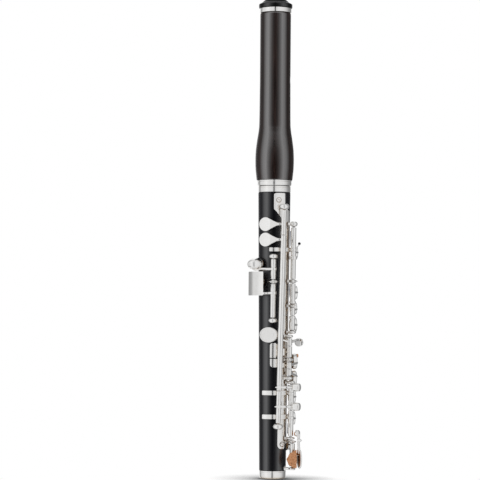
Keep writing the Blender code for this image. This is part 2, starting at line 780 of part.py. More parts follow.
def trill_cup(hole, rod):
    cup, tip, root = side_cup(hole, rod, KEY_TUBES[hole][2], -107.0, 3.3)
    return cup, rod_between(tip, root, 0.8, 8)


def trill_knob(rod, height):
    """The drum-shaped touch that the right hand presses, on its bent arm."""
    base = around(-71.0, body_radius(height) + 9.4, height)
    out = around(-42.0, 1.0, LENGTH)
    profile = [(0.0, 5.0), (1.7, 4.85), (2.5, 4.3), (2.75, 3.4), (2.75, 0.4), (2.5, 0.0), (0.0, 0.0)]
    knob = turned(profile, base, out, 14)
    start = rod.at(height)
    bend = around(-84.0, body_radius(height) + 9.4, height)
    arm = wire([start, bend, base + out * 0.8], 0.95)
    return union(knob, arm)


def spike(rod, height):
    """The small pointed boss where a touch's arm is soldered on."""
    base = rod.at(height)
    out = around(-140.0, 1.0, LENGTH)
    profile = [(0.0, 3.0), (0.9, 1.4), (1.5, 0.0), (0.0, 0.0)]
    return turned(profile, base, out, 10)


def d_trill_key():
    rod = TRILL_ROD
    cup, neck = trill_cup("d_trill", rod)
    made = key("d_trill", rod, cup, neck, trill_knob(rod, D_TRILL_TOUCH), spike(rod, D_TRILL_TOUCH))
    pad("d_trill", rod, 0.0, made)


def d_sharp_trill_key():
    """The inner steel turns with this key, and carries its cup above the other trill's tube and its touch below."""
    rod = TRILL_ROD
    cup, neck = trill_cup("d_sharp_trill", rod)
    sleeves = (KEY_TUBES["d_sharp_trill"][:2], D_SHARP_TRILL_SLEEVE)
    shaft = rod_between(rod.at(D_SHARP_TRILL_STEEL[0]), rod.at(D_SHARP_TRILL_STEEL[1]), STEEL_RADIUS)
    made = union(shaft, *[rod_between(rod.at(low), rod.at(high), TUBE_RADIUS) for low, high in sleeves])
    union(made, cup, neck, trill_knob(rod, D_SHARP_TRILL_TOUCH), spike(rod, D_SHARP_TRILL_TOUCH))
    made = finish(made, "d_sharp_trill_key", silver(), pivot=rod.at(100.0))
    pad("d_sharp_trill", rod, 0.0, made)


def b_flat_thumb_key():
    rod = THUMB_ROD
    top = cup_top("b_flat_thumb")
    _, out, radius = hole_frame("b_flat_thumb")
    profile = [(0.0, 5.0), (1.6, 4.7), (2.9, 3.6), (3.6, 2.0), (3.7, -0.3), (0.0, -0.3)]
    dome = turned(profile, top, out, CUP_STEPS)
    side = around(-150.0, body_radius(137.0) + 4.2, 137.2)
    arm = wire([rod.at(137.2), side, top + Vector((0.0, 0.0, -2.4)) + out * 1.6], 0.9)
    moved = swing(union(pad_cup("b_flat_thumb"), dome, arm), rod, THUMB_OPENING)
    made = key("b_flat_thumb", rod, moved, collar(rod, 137.2, 2.1, 2.2))
    pad("b_flat_thumb", rod, THUMB_OPENING, made)


def b_thumb_key():
    rod = THUMB_ROD
    top = cup_top("b_thumb")
    _, out, _ = hole_frame("b_thumb")
    touch = arc_plate(-140.0, -199.0, 15.6, 1.0, 119.9, 135.6)
    moved = swing(pad_cup("b_thumb"), rod, THUMB_OPENING)
    riser = swing(rod_between(top - out * 0.5, top + out * 1.6, 2.0, 12), rod, THUMB_OPENING)
    arm = wire([rod.at(121.6), around(-132.0, 15.4, 121.6), around(-146.0, 15.9, 121.6)], 0.9)
    made = key("b_thumb", rod, union(moved, riser, touch, arm), collar(rod, 121.6, 2.2, 2.4))
    pad("b_thumb", rod, THUMB_OPENING, made)


# ---------------------------------------------------------------- G sharp and the side lever

def g_sharp_key():
    """A see-saw: its touch on the far side of the tone holes lifts the cup on the player's side."""
    rod = MIDDLE_ROD
    under = around(-88.0, body_radius(91.0) + 2.3, 91.3)
    cup, tip, root = side_cup("g_sharp", rod, KEY_TUBES["g_sharp"][2], -103.0, 2.0)
    neck = wire([tip + Vector((0.0, 0.0, 0.07)), under, root], 0.6)
    far = around(2.0, body_radius(89.0) + 9.8, 89.2)
    over = around(-34.0, body_radius(89.0) + 6.6, 89.5)
    arm = wire([root, over, far], 0.9)
    out = around(6.0, 1.0, LENGTH)
    oval = [(3.0 * math.cos(a), 5.0 * math.sin(a)) for a in [math.radians(24.0 * i) for i in range(15)]]
    touch = plate(oval, 1.1, around(6.0, body_radius(89.0) + 10.2, 89.2), out)
    made = key("g_sharp", rod, union(cup, neck), union(arm, touch))
    pad("g_sharp", rod, 0.0, made)


def side_b_flat_lever():
    rod = MIDDLE_ROD
    inner = body_radius(89.0) + 1.5
    touch = arc_plate(-100.0, -127.0, inner, KICKER_THICKNESS, 79.2, 88.9)
    middle = KEY_TUBES["side_b_flat"][2]
    lever = key("side_b_flat", rod, union(kicker(rod, middle, 4.6, -104.0, 1.5), touch))
    lever.name = "side_b_flat_lever"


# ---------------------------------------------------------------- right-hand keys

def f_sharp_key():
    rod = MIDDLE_ROD
    inner = body_radius(78.0) + KICKER_LIFT
    sole = arc_plate(-100.0, -127.0, inner, KICKER_THICKNESS, 73.0, 78.6)
    foot = union(kicker(rod, 74.4, 3.2, -104.0), sole)
    finger_key("f_sharp", rod, foot)


def f_key():
    finger_key("f", MIDDLE_ROD)


def e_key():
    finger_key("e", LOWER_ROD, kicker(LOWER_ROD, 56.3, 3.0, KICKER_END), collar(LOWER_ROD, 55.8, 2.1, 2.0))


def d_key():
    finger_key("d", LOWER_ROD, kicker(LOWER_ROD, 40.7, 3.0, KICKER_END), collar(LOWER_ROD, 39.9, 2.1, 2.4))


def e_flat_key():
    """A closed key: its raised paddle is pressed towards the tone holes' far side and lifts the cup."""
    rod = E_FLAT_ROD
    middle = around(PADDLE_ANGLE, PADDLE_RADIUS, PADDLE_HEIGHT)
    out = Vector((1.0, 0.0, 0.0))
    oval = [(6.3 * math.cos(a), 3.4 * math.sin(a)) for a in [math.radians(22.5 * i) for i in range(16)]]
    paddle = plate(oval, 1.1, middle, out)
    stem = rod_between(rod.at(17.0), middle + Vector((0.1, 0.0, 3.0)), 1.0)
    rise_foot = middle + Vector((-0.2, 0.1, 3.6))
    rise = rod_between(rise_foot, around(PADDLE_ANGLE, PADDLE_RADIUS - 0.5, 29.8), 0.85, 10)
    button = turned([(0.0, 1.6), (1.5, 1.3), (2.2, 0.5), (2.2, -1.0), (0.0, -1.0)],
                    around(PADDLE_ANGLE, PADDLE_RADIUS - 1.4, 30.0), around(PADDLE_ANGLE, 1.0, LENGTH), 12)
    cup = union(pad_cup("e_flat"), cup_arm("e_flat", rod, KEY_TUBES["e_flat"][2]))
    made = key("e_flat", rod, cup, union(stem, paddle, rise, button))
    pad("e_flat", rod, 0.0, made)
    wedge(made)


def wedge(parent):
    """The cork block between the paddle and the hinge tube, on the player's side of the tube."""
    facing = around(-115.0, 1.0, LENGTH)
    across = around(-25.0, 1.0, LENGTH)
    middle = facing * 9.95 + across * 12.2 + Vector((0.0, 0.0, 13.5 - LENGTH))
    outline = [(6.1, -3.3), (3.2, 1.2), (-0.4, 3.3), (-3.9, 1.9), (-5.9, -1.4), (-6.1, -3.4)]
    made = plate(outline, 2.8, middle, facing)
    return finish(made, "e_flat_cork", cork(), parent=parent)


def build():
    body_wood()
    body_top_ring()
    foot_ring()
    tenon_cork()
    socket = head_socket()
    wood = head_wood(socket)
    crown_ring(wood)
    crown(wood)
    plug = stopper_rod(wood)
    stopper_cork(plug)
    key_strap()
    strap_screws()
    peg_posts()
    hinge_steels()
    needle_springs()
    c_key()
    a_key()
    b_flat_key()
    g_key()
    d_trill_key()
    d_sharp_trill_key()
    b_flat_thumb_key()
    b_thumb_key()
    g_sharp_key()
    side_b_flat_lever()
    f_sharp_key()
    f_key()
    e_key()
    d_key()
    e_flat_key()
    bpy.data.collections.remove(WORK)


clear_scene()
PICCOLO = new_collection("piccolo")
WORK = new_collection("work")
build()
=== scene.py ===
"""Looks of the wooden piccolo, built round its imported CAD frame.

Every piece here stands for one CAD node and is worked out from that node's place in the frame. Lengths are in
millimetres until a mesh is made. Heights run up from the foot end, and angles turn about the bore: 0 is the line
of the tone holes (+X) and minus 90 is the player's side.
"""
import json
from math import asin, atan2, ceil, cos, degrees, hypot, pi, radians, sin, tan

import bmesh
import bpy
import numpy as np
from mathutils import Matrix, Vector


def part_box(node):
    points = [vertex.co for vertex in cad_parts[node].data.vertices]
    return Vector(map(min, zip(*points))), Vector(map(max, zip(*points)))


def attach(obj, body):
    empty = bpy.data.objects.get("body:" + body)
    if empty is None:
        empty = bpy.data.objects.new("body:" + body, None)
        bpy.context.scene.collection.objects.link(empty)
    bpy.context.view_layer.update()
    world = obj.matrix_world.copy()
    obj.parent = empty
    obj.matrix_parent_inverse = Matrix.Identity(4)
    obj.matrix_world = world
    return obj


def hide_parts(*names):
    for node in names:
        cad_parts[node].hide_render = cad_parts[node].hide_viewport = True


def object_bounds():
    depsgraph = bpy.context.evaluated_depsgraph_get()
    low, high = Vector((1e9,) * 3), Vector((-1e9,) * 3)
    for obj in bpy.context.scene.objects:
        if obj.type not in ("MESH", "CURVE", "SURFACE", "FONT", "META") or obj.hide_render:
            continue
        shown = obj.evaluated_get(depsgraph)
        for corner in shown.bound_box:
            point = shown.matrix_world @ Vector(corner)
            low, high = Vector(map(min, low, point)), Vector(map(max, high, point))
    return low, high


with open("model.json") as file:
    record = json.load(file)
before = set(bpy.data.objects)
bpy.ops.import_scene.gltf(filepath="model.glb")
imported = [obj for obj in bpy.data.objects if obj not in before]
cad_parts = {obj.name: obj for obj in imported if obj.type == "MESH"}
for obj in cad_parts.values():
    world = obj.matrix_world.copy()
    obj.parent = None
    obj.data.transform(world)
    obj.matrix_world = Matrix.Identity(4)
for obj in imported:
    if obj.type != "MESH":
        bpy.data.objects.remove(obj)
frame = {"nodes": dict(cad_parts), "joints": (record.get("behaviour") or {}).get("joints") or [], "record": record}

CAD_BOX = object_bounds()
MM = 0.001
LENGTH = -CAD_BOX[0].z / MM
UP = Vector((0, 0, 1))
ZERO = Vector((0, 0, 0))

ROUND = 96
TUBE_STEPS = 28
TUBE_RADIUS = 1.6
TUBE_BORE = 1
STEEL_RADIUS = 0.72
POST_BORE = 0.85
CUP_HEIGHT = 2.9
CUP_SKIN = 0.45
PAD_TO_RIM = 1.2
PAD_EDGE_GAP = 0.2
SEAT_DEPTH = 0.8
PLATE_THICKNESS = 0.8
KICKER_LIFT = 1.1
STRAP_LIFT = 0.1


# ---------------------------------------------------------------- places taken from the frame

def height_of(node, end):
    """Height above the foot end of a node's lower (0) or upper (1) side."""
    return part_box(node)[end].z / MM + LENGTH


def half_width(node):
    low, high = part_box(node)
    return (high.x - low.x) / 2 / MM


BODY_FOOT = height_of("foot_ring", 1) + 0.1
SHOULDER = height_of("body_top_ring", 0) - 0.1
BODY_TOP_RADIUS = half_width("body_wood")
BODY_FOOT_RADIUS = half_width("foot_ring") - 0.07
HEAD_FOOT = height_of("head_wood", 0)
HEAD_TOP = height_of("crown_ring", 0) - 0.1


def body_radius(height):
    along = (height - BODY_FOOT) / (SHOULDER - BODY_FOOT)
    return BODY_FOOT_RADIUS + (BODY_TOP_RADIUS - BODY_FOOT_RADIUS) * along


def around(angle, radius, height):
    turn = radians(angle)
    return Vector((radius * cos(turn), radius * sin(turn), height - LENGTH))


def direction(angle):
    turn = radians(angle)
    return Vector((cos(turn), sin(turn), 0))


class Rod:
    """The line that a joint of the frame turns about."""

    def __init__(self, joint_name):
        joint = next(j for j in frame["joints"] if j["name"] == joint_name)
        self.point = Vector(joint["pos_m"]) / MM
        self.axis = Vector(joint["axis"]).normalized()

    def at(self, height):
        return self.point + self.axis * ((height - LENGTH - self.point.z) / self.axis.z)

    def angle(self, height):
        point = self.at(height)
        return degrees(atan2(point.y, point.x))

    def length(self, low, high):
        return (self.at(high) - self.at(low)).length

    def facing(self, height, point, reach=1.2):
        """A place inside the tube's wall, on the side where another point lies."""
        start = self.at(height)
        return start + (point - start).normalized() * reach

    def distances(self, points):
        """How far each point is from the line, and its height."""
        axis = np.array(self.axis)
        gap = points - np.array(self.point)
        along = gap @ axis
        return np.linalg.norm(gap - np.outer(along, axis), axis=1), points[:, 2] + LENGTH


UPPER = Rod("c_press")
MIDDLE = Rod("f_press")
LOWER = Rod("e_press")
E_FLAT = Rod("e_flat_press")
THUMB = Rod("b_thumb_press")
TRILL = Rod("d_trill_press")


def node_points(node):
    return np.array([v.co for v in frame["nodes"][node].data.vertices]) / MM


def tube_spans(node, rod, split=False):
    """The heights between which a key's hinge tube runs. A split tube is two runs with the widest gap between."""
    away, heights = rod.distances(node_points(node))
    ends = np.sort(heights[np.abs(away - TUBE_RADIUS) < 0.004])
    if not split:
        return [(float(ends[0]), float(ends[-1]))]
    widest = int(np.argmax(np.diff(ends)))
    return [(float(ends[0]), float(ends[widest])), (float(ends[widest + 1]), float(ends[-1]))]


class Disc:
    """A pad's place: the middle of its skin, the direction that its cup faces, its radius and its depth."""

    def __init__(self, node):
        points = node_points(node)
        middle = points.mean(0)
        _, _, axes = np.linalg.svd(points - middle, full_matrices=False)
        across = (points - middle) @ axes[2]
        face = points[across > 0]
        _, _, axes = np.linalg.svd(face - face.mean(0), full_matrices=False)
        out = Vector(axes[2])
        if out.dot(Vector((middle[0], middle[1], 0))) < 0:
            out = -out
        for axis in (np.array(axes[0]), np.array(axes[1])):
            reach = (points - middle) @ axis
            middle = middle + axis * float(reach.max() + reach.min()) / 2
        along = (points - middle) @ np.array(out)
        self.out = out
        self.skin = Vector(middle) + out * float(along.min())
        self.depth = float(along.max() - along.min())
        spread = (points - middle) - np.outer(along, np.array(out))
        self.radius = float(np.abs(spread @ np.array(axes[0])).max())
        self.cup_radius = self.radius + CUP_SKIN + PAD_EDGE_GAP
        self.rim = self.skin + out * PAD_TO_RIM
        self.top = self.rim + out * CUP_HEIGHT

    def across_to(self, point):
        """The way from the cup's top to another point, along the cup's plane."""
        gap = point - self.top
        return gap - gap.dot(self.out) * self.out


# ---------------------------------------------------------------- mesh tools

WORK = bpy.data.collections.new("work")
bpy.context.scene.collection.children.link(WORK)
PICCOLO = bpy.data.collections.new("piccolo")
bpy.context.scene.collection.children.link(PICCOLO)


def new_object(build, name="shape"):
    mesh = bpy.data.meshes.new(name)
    bmesh.ops.recalc_face_normals(build, faces=build.faces)
    build.to_mesh(mesh)
    build.free()
    thing = bpy.data.objects.new(name, mesh)
    WORK.objects.link(thing)
    return thing


def skin(loops, ring=False):
    """A closed surface through loops of the same number of points: capped at both ends, or closed into a ring."""
    build = bmesh.new()
    rows = [[build.verts.new(p * MM) for p in loop] for loop in loops]
    pairs = list(zip(rows, rows[1:]))
    if ring:
        pairs.append((rows[-1], rows[0]))
    for low, high in pairs:
        for i in range(len(low)):
            j = (i + 1) % len(low)
            build.faces.new((low[i], low[j], high[j], high[i]))
    if not ring:
        build.faces.new(list(reversed(rows[0])))
        build.faces.new(rows[-1])
    bmesh.ops.remove_doubles(build, verts=build.verts, dist=2e-6)
    return new_object(build)


def axes_for(axis, guide=None):
    """Three unit axes: the first points along the guide, and the third along the axis."""
    up = axis.normalized()
    if guide is None:
        guide = UP if abs(up.z) < 0.9 else Vector((1, 0, 0))
    side = (guide - guide.dot(up) * up).normalized()
    return side, up.cross(side), up


def oval(middle, side, third, wide, high, steps):
    """A closed loop of points: a circle or an ellipse across two axes."""
    turns = [2 * pi * i / steps for i in range(steps)]
    return [middle + side * wide * cos(a) + third * high * sin(a) for a in turns]


def turned(profile, origin, axis, steps=TUBE_STEPS, ring=False):
    """A turned shape from (radius, height) points; a radius of 0 closes it on the axis."""
    side, third, up = axes_for(axis)
    loops = [oval(origin + up * height, side, third, radius, radius, steps) for radius, height in profile]
    if ring:
        return skin(loops, ring=True)
    build = bmesh.new()
    rows = []
    for (radius, _), loop in zip(profile, loops):
        if radius <= 0:
            rows.append([build.verts.new(loop[0] * MM)] * steps)
        else:
            rows.append([build.verts.new(p * MM) for p in loop])
    for low, high in zip(rows, rows[1:]):
        for i in range(steps):
            j = (i + 1) % steps
            corners = list(dict.fromkeys((low[i], low[j], high[j], high[i])))
            if len(corners) > 2:
                build.faces.new(corners)
    for row in (rows[0], rows[-1]):
        if len(set(row)) > 1:
            build.faces.new(row)
    return new_object(build)


def upright(profile, steps=ROUND, ring=True):
    return turned([(r, h - LENGTH) for r, h in profile], ZERO, UP, steps, ring)


def spline(points, steps=6):
    """Points along a smooth curve through the given ones; each may hold more numbers than three."""
    rows = [np.array(p, float) for p in points]
    rows = [2 * rows[0] - rows[1]] + rows + [2 * rows[-1] - rows[-2]]
    out = []
    for a, b, c, d in zip(rows, rows[1:], rows[2:], rows[3:]):
        for i in range(steps):
            t = i / steps
            out.append(0.5 * (2 * b + (c - a) * t + (2 * a - 5 * b + 4 * c - d) * t * t + (3 * b - a - 3
                * c + d) * t ** 3))
    out.append(rows[-2])
    return out


def sweep(points, radii, steps=14, smooth=6):
    """A round arm through the points, as thick at each as its radius."""
    path = spline([(*p, r) for p, r in zip(points, radii)], smooth)
    spots = [Vector(p[:3]) for p in path]
    loops = []
    side = None
    for i, spot in enumerate(spots):
        ahead = (spots[min(i + 1, len(spots) - 1)] - spots[max(i - 1, 0)]).normalized()
        side, third, _ = axes_for(ahead, side)
        loops.append(oval(spot, side, third, path[i][3], path[i][3], steps))
    return skin(loops)


def curve(start, control, end, steps):
    """Points from start to end, drawn towards the control point between them."""
    return [start * (1 - t) ** 2 + control * 2 * t * (1 - t) + end * t * t for t in np.arange(steps + 1) / steps]


def rounded(outline, corners, steps=5):
    """The outline with each corner rounded by its radius, in order; one radius may do for all."""
    out = []
    for i, (x, y) in enumerate(outline):
        here = Vector((x, y))
        before = Vector(outline[i - 1]) - here
        after = Vector(outline[(i + 1) % len(outline)]) - here
        radius = corners[i] if isinstance(corners, (list, tuple)) else corners
        reach = min(radius / tan(before.angle(after) / 2), before.length * 0.48, after.length * 0.48)
        start = here + before.normalized() * reach
        out += [(p.x, p.y) for p in curve(start, here, here + after.normalized() * reach, steps)]
    return out


def wrapped(outline, thickness, place, bevel=0.22, pitch=1, pitch_up=400):
    """A sheet cut to the outline, with softened edges, then bent: place(x, y, z) says where each point goes."""
    build = bmesh.new()
    face = build.faces.new([build.verts.new((x, y, 0)) for x, y in outline])
    if face.normal.z < 0:
        face.normal_flip()
    made = bmesh.ops.extrude_face_region(build, geom=[face])
    top = [v for v in made["geom"] if isinstance(v, bmesh.types.BMVert)]
    bmesh.ops.translate(build, verts=top, vec=(0, 0, thickness))
    bmesh.ops.recalc_face_normals(build, faces=build.faces)
    rims = [e for e in build.edges if abs(e.verts[0].co.z - e.verts[1].co.z) < 1e-9]
    bmesh.ops.bevel(build, geom=rims, offset=bevel, segments=2, profile=0.6, affect="EDGES", clamp_overlap=True)
    for axis, step in ((0, pitch), (1, pitch_up)):
        values = [v.co[axis] for v in build.verts]
        low, high = min(values), max(values)
        normal = [0, 0, 0]
        normal[axis] = 1
        for i in range(1, max(1, ceil((high - low) / step))):
            point = [0, 0, 0]
            point[axis] = low + (high - low) * i / ceil((high - low) / step)
            bmesh.ops.bisect_plane(build, geom=build.verts[:] + build.edges[:] + build.faces[:],
                dist=1e-5, plane_co=point, plane_no=normal)
    for vert in build.verts:
        vert.co = place(*vert.co) * MM
    return new_object(build)


def join(target, others):
    """All the shapes in one mesh, left as separate shells."""
    build = bmesh.new()
    for thing in [target, *others]:
        build.from_mesh(thing.data)
    build.to_mesh(target.data)
    build.free()
    for thing in others:
        bpy.data.objects.remove(thing)
    return target


def combine(target, other, operation):
    modifier = target.modifiers.new("Boolean", "BOOLEAN")
    modifier.operation = operation
    modifier.solver = "EXACT"
    modifier.object = other
    bpy.context.view_layer.update()
    graph = bpy.context.evaluated_depsgraph_get()
    mesh = bpy.data.meshes.new_from_object(target.evaluated_get(graph))
    target.modifiers.clear()
    target.data = mesh
    bpy.data.objects.remove(other)
    return target


def union(target, *others):
    for other in others:
        combine(target, other, "UNION")
    return target


def cut(target, *others):
    for other in others:
        combine(target, other, "DIFFERENCE")
    return target


NODE_BODY = {n: b for b, nodes in frame["record"]["behaviour"]["bodies"].items() for n in nodes}


def finish(thing, node, material, name=None, body=None, sharp=38):
    """Names the piece, gives it its material and lets it stand for its CAD node."""
    thing.name = name or node + "_finished"
    thing.data.name = thing.name
    build = bmesh.new()
    build.from_mesh(thing.data)
    bmesh.ops.remove_doubles(build, verts=build.verts, dist=1e-6)
    bmesh.ops.dissolve_degenerate(build, edges=build.edges, dist=1e-6)
    build.to_mesh(thing.data)
    build.free()
    thing.data.materials.clear()
    thing.data.materials.append(material)
    for face in thing.data.polygons:
        face.use_smooth = True
    thing.data.set_sharp_from_angle(angle=radians(sharp))
    weighted = thing.modifiers.new("Weighted normals", "WEIGHTED_NORMAL")
    weighted.keep_sharp = True
    weighted.weight = 90
    WORK.objects.unlink(thing)
    PICCOLO.objects.link(thing)
    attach(thing, body or NODE_BODY[node])
    if name is None:
        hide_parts(node)
    return thing


# ---------------------------------------------------------------- materials

def add_node(tree, kind, inputs, **settings):
    """A shader node with its settings; inputs maps each slot to a number, a colour or another node's output."""
    node = tree.nodes.new("ShaderNode" + kind)
    for name, value in settings.items():
        setattr(node, name, value)
    for slot, value in inputs.items():
        if isinstance(value, bpy.types.NodeSocket):
            tree.links.new(value, node.inputs[slot])
        else:
            node.inputs[slot].default_value = value
    return node


def add_ramp(tree, value, stops):
    """A colour ramp through (place, grey) or (place, colour) stops."""
    node = add_node(tree, "ValToRGB", {"Fac": value})
    elements = node.color_ramp.elements
    while len(elements) < len(stops):
        elements.new(0.5)
    for element, (place, colour) in zip(elements, stops):
        element.position = place
        element.color = (*colour, 1) if isinstance(colour, tuple) else (colour, colour, colour, 1)
    return node.outputs["Color"]


class Shader:
    """A Principled material and the nodes that feed it."""

    def __init__(self, name, roughness, metallic=0):
        self.material = bpy.data.materials.new(name)
        self.material.use_nodes = True
        self.tree = self.material.node_tree
        self.main = self.tree.nodes["Principled BSDF"]
        self.main.inputs["Roughness"].default_value = roughness
        self.main.inputs["Metallic"].default_value = metallic
        self.place = add_node(self.tree, "TexCoord", {}).outputs["Object"]

    def noise(self, scale, detail=3, stretch=(1, 1, 1), roughness=0.55):
        """Noise with this many features to the millimetre, drawn out along any axis."""
        mapping = add_node(self.tree, "Mapping", {"Vector": self.place, "Scale": [s / MM for s in stretch]})
        return add_node(self.tree, "TexNoise", {"Vector": mapping.outputs[0], "Scale": scale,
            "Detail": detail, "Roughness": roughness}).outputs["Fac"]

    def ramp(self, value, *stops):
        return add_ramp(self.tree, value, stops)

    def spread(self, value, low, high):
        return add_node(self.tree, "MapRange", {"Value": value, "From Min": 0.3, "From Max": 0.7,
            "To Min": low, "To Max": high}).outputs["Result"]

    def mix(self, kind, factor, a, b):
        b = (*b, 1) if isinstance(b, tuple) else b
        return add_node(self.tree, "Mix", {0: factor, 6: a, 7: b}, data_type="RGBA", blend_type=kind).outputs[2]

    def crevice(self, distance):
        """1 in the open, falling to 0 deep between neighbours this many millimetres apart."""
        return add_node(self.tree, "AmbientOcclusion", {"Distance": distance * MM}, samples=6).outputs["AO"]

    def bump(self, height, depth, strength=1):
        """Relief of this depth in millimetres."""
        node = add_node(self.tree, "Bump", {"Distance": depth * MM, "Strength": strength, "Height": height})
        if self.main.inputs["Normal"].is_linked:
            self.tree.links.new(self.main.inputs["Normal"].links[0].from_socket, node.inputs["Normal"])
        self.feed("Normal", node.outputs["Normal"])

    def feed(self, name, value):
        self.tree.links.new(value, self.main.inputs[name])


def silver_plate():
    """Polished silver: faint cloudiness and hairlines, with a brownish shade painted into its colour between close
    neighbours.
    """
    s = Shader("silver_plate_polished", 0.14, 1)
    clouds = s.noise(0.35, 4)
    hairs = s.noise(1, 2, (6, 6, 0.35))
    tone = s.ramp(clouds, (0.3, (0.90, 0.885, 0.86)), (0.7, (0.95, 0.945, 0.93)))
    # painted shade: the colour falls to dark brown where neighbours crowd in, standing in for shadow and dark
    # reflections between the key work
    painted_shade = s.ramp(s.crevice(4), (0, (0.16, 0.09, 0.05)), (0.28, (0.5, 0.38, 0.28)), (0.5, (0.86, 0.81,
        0.75)), (0.75, (1, 1, 1)))
    s.feed("Base Color", s.mix("MULTIPLY", 1, tone, painted_shade))
    s.feed("Roughness", s.spread(clouds, 0.07, 0.14))
    s.bump(hairs, 0.003)
    return s.material


def ground_steel():
    s = Shader("steel_ground", 0.3, 1)
    rings = s.noise(1, 2, (0.4, 0.4, 9))
    s.feed("Base Color", s.ramp(rings, (0.3, (0.5, 0.5, 0.51)), (0.7, (0.66, 0.665, 0.68))))
    s.feed("Roughness", s.spread(rings, 0.22, 0.38))
    s.bump(rings, 0.006)
    return s.material


def blued_steel():
    s = Shader("steel_blued", 0.3, 1)
    tint = s.noise(0.6, 2)
    s.feed("Base Color", s.ramp(tint, (0.3, (0.03, 0.05, 0.13)), (0.7, (0.09, 0.12, 0.24))))
    s.feed("Roughness", s.spread(tint, 0.22, 0.36))
    return s.material


def turned_wood(name, dark, middle, light, index, roughness):
    """Oiled dark wood: long fine vessels along the bore, slow colour bands and pores in the polish.

    Its fibres lie along the bore, so the polish shines most where it is seen a little aslant.
    """
    s = Shader(name, roughness)
    grain = s.noise(1, 6, (2.4, 2.4, 0.045), 0.62)
    bands = s.noise(0.16, 2, (1, 1, 0.06))
    pores = s.noise(1, 2, (9, 9, 0.5))
    colour = s.ramp(grain, (0.32, dark), (0.5, middle), (0.72, light))
    slow = s.ramp(bands, (0.3, 0.72), (0.7, 1.18))
    s.feed("Base Color", s.mix("MULTIPLY", 1, colour, slow))
    s.feed("Roughness", s.spread(grain, roughness - 0.04, roughness + 0.08))
    s.main.inputs["IOR"].default_value = index
    aslant = add_node(s.tree, "LayerWeight", {"Blend": 0.5})
    s.feed("Specular IOR Level", s.ramp(aslant.outputs["Facing"], (0, 0.02), (0.02, 0.14), (0.11, 1),
        (0.2, 0.85), (0.36, 0.09), (0.8, 0.05)))
    s.bump(grain, 0.012)
    s.bump(s.ramp(pores, (0.28, 0), (0.36, 1)), 0.02, 0.5)
    return s.material


def cork_grain(name, dark, light, speck):
    """Pressed cork: pale grains of uneven tone, with dark lenticels sunk into the surface."""
    s = Shader(name, 0.85)
    grains = s.noise(1.3, 4)
    specks = s.noise(1.9, 2, (1, 1, 0.7))
    spots = s.ramp(specks, (0.30, 1), (0.36, 0))
    colour = s.ramp(grains, (0.34, dark), (0.66, light))
    s.feed("Base Color", s.mix("MIX", spots, colour, speck))
    s.bump(grains, 0.12)
    s.bump(s.ramp(specks, (0.28, 0), (0.38, 1)), 0.15)
    return s.material


def pad_skin():
    """Thin fish skin stretched over felt: translucent, slightly wrinkled and yellow-brown."""
    s = Shader("pad_skin_stretched", 0.42)
    wrinkles = s.noise(0.9, 3, (1, 1, 0.5))
    s.feed("Base Color", s.ramp(wrinkles, (0.3, (0.34, 0.19, 0.09)), (0.7, (0.55, 0.36, 0.2))))
    s.main.inputs["Subsurface Weight"].default_value = 0.2
    s.main.inputs["Subsurface Radius"].default_value = (0.001, 0.0006, 0.0003)
    s.bump(wrinkles, 0.04)
    return s.material


def rubber():
    s = Shader("bumper_rubber", 0.6)
    grit = s.noise(3, 3)
    s.feed("Base Color", s.ramp(grit, (0.3, (0.012, 0.012, 0.013)), (0.7, (0.03, 0.03, 0.032))))
    s.bump(grit, 0.03)
    return s.material


SILVER = silver_plate()
STEEL = ground_steel()
BLUED = blued_steel()
BODY_WOOD = turned_wood("grenadilla_body", (0.0045, 0.0045, 0.006), (0.0095, 0.0095, 0.0125), (0.018,
    0.0175, 0.021), 1.68, 0.3)
HEAD_WOOD = turned_wood("grenadilla_head", (0.007, 0.003, 0.0022), (0.018, 0.0085, 0.0068), (0.05, 0.027,
    0.022), 2.05, 0.27)
CROWN_WOOD = turned_wood("grenadilla_crown", (0.003, 0.003, 0.0035), (0.006, 0.006, 0.0065), (0.012,
    0.0115, 0.0115), 1.5, 0.25)
KEY_CORK = cork_grain("key_cork", (0.62, 0.26, 0.11), (0.88, 0.45, 0.23), (0.14, 0.05, 0.02))
JOINT_CORK = cork_grain("joint_cork", (0.40, 0.25, 0.13), (0.60, 0.42, 0.26), (0.13, 0.07, 0.035))
PAD = pad_skin()
RUBBER = rubber()


# ---------------------------------------------------------------- wood, rings and stopper

PADS = {n[:-4]: Disc(n) for n in frame["nodes"] if n.endswith("_pad")}
HOLE_ANGLES = {"d_sharp_trill": -140.5, "d_trill": -140.5, "b_flat_thumb": -172, "b_thumb": -170,
    "g_sharp": -133}
HOLE_HEIGHTS = {"d_sharp_trill": 166.6, "d_trill": 156.5, "c": 148.6, "b_flat_thumb": 140.8,
    "b_thumb": 129, "a": 122.2, "b_flat": 111.7, "g": 100.8, "g_sharp": 94.2, "f_sharp": 76.7, "f": 65.8,
    "e": 53.6, "d": 39.4, "e_flat": 22.5}
SMALL_HOLES = {"d_sharp_trill": 2.1, "d_trill": 2.1, "c": 2.3, "b_flat_thumb": 2.5, "b_thumb": 2.6,
    "b_flat": 2.7}
HOLE_RADIUS = 3


def hole_radius(hole):
    return SMALL_HOLES.get(hole, HOLE_RADIUS)


def hole_cutter(hole):
    """Cuts a tone hole, its sunk seat and the groove that leaves a raised rim round the hole."""
    radius = hole_radius(hole)
    seat = PADS[hole].cup_radius + 0.3
    height = HOLE_HEIGHTS[hole]
    angle = HOLE_ANGLES.get(hole, 0)
    floor = body_radius(height) - SEAT_DEPTH
    profile = [(0, -6), (radius + 0.35, -6), (radius, -3), (radius, -0.24), (radius + 0.12, -0.12),
        (radius + 0.5, -0.12), (radius + 0.7, -0.25), (seat - 0.3, -0.25), (seat, 0.05), (seat + 0.1, 4),
        (0, 4)]
    return turned(profile, around(angle, floor, height), direction(angle), 40)


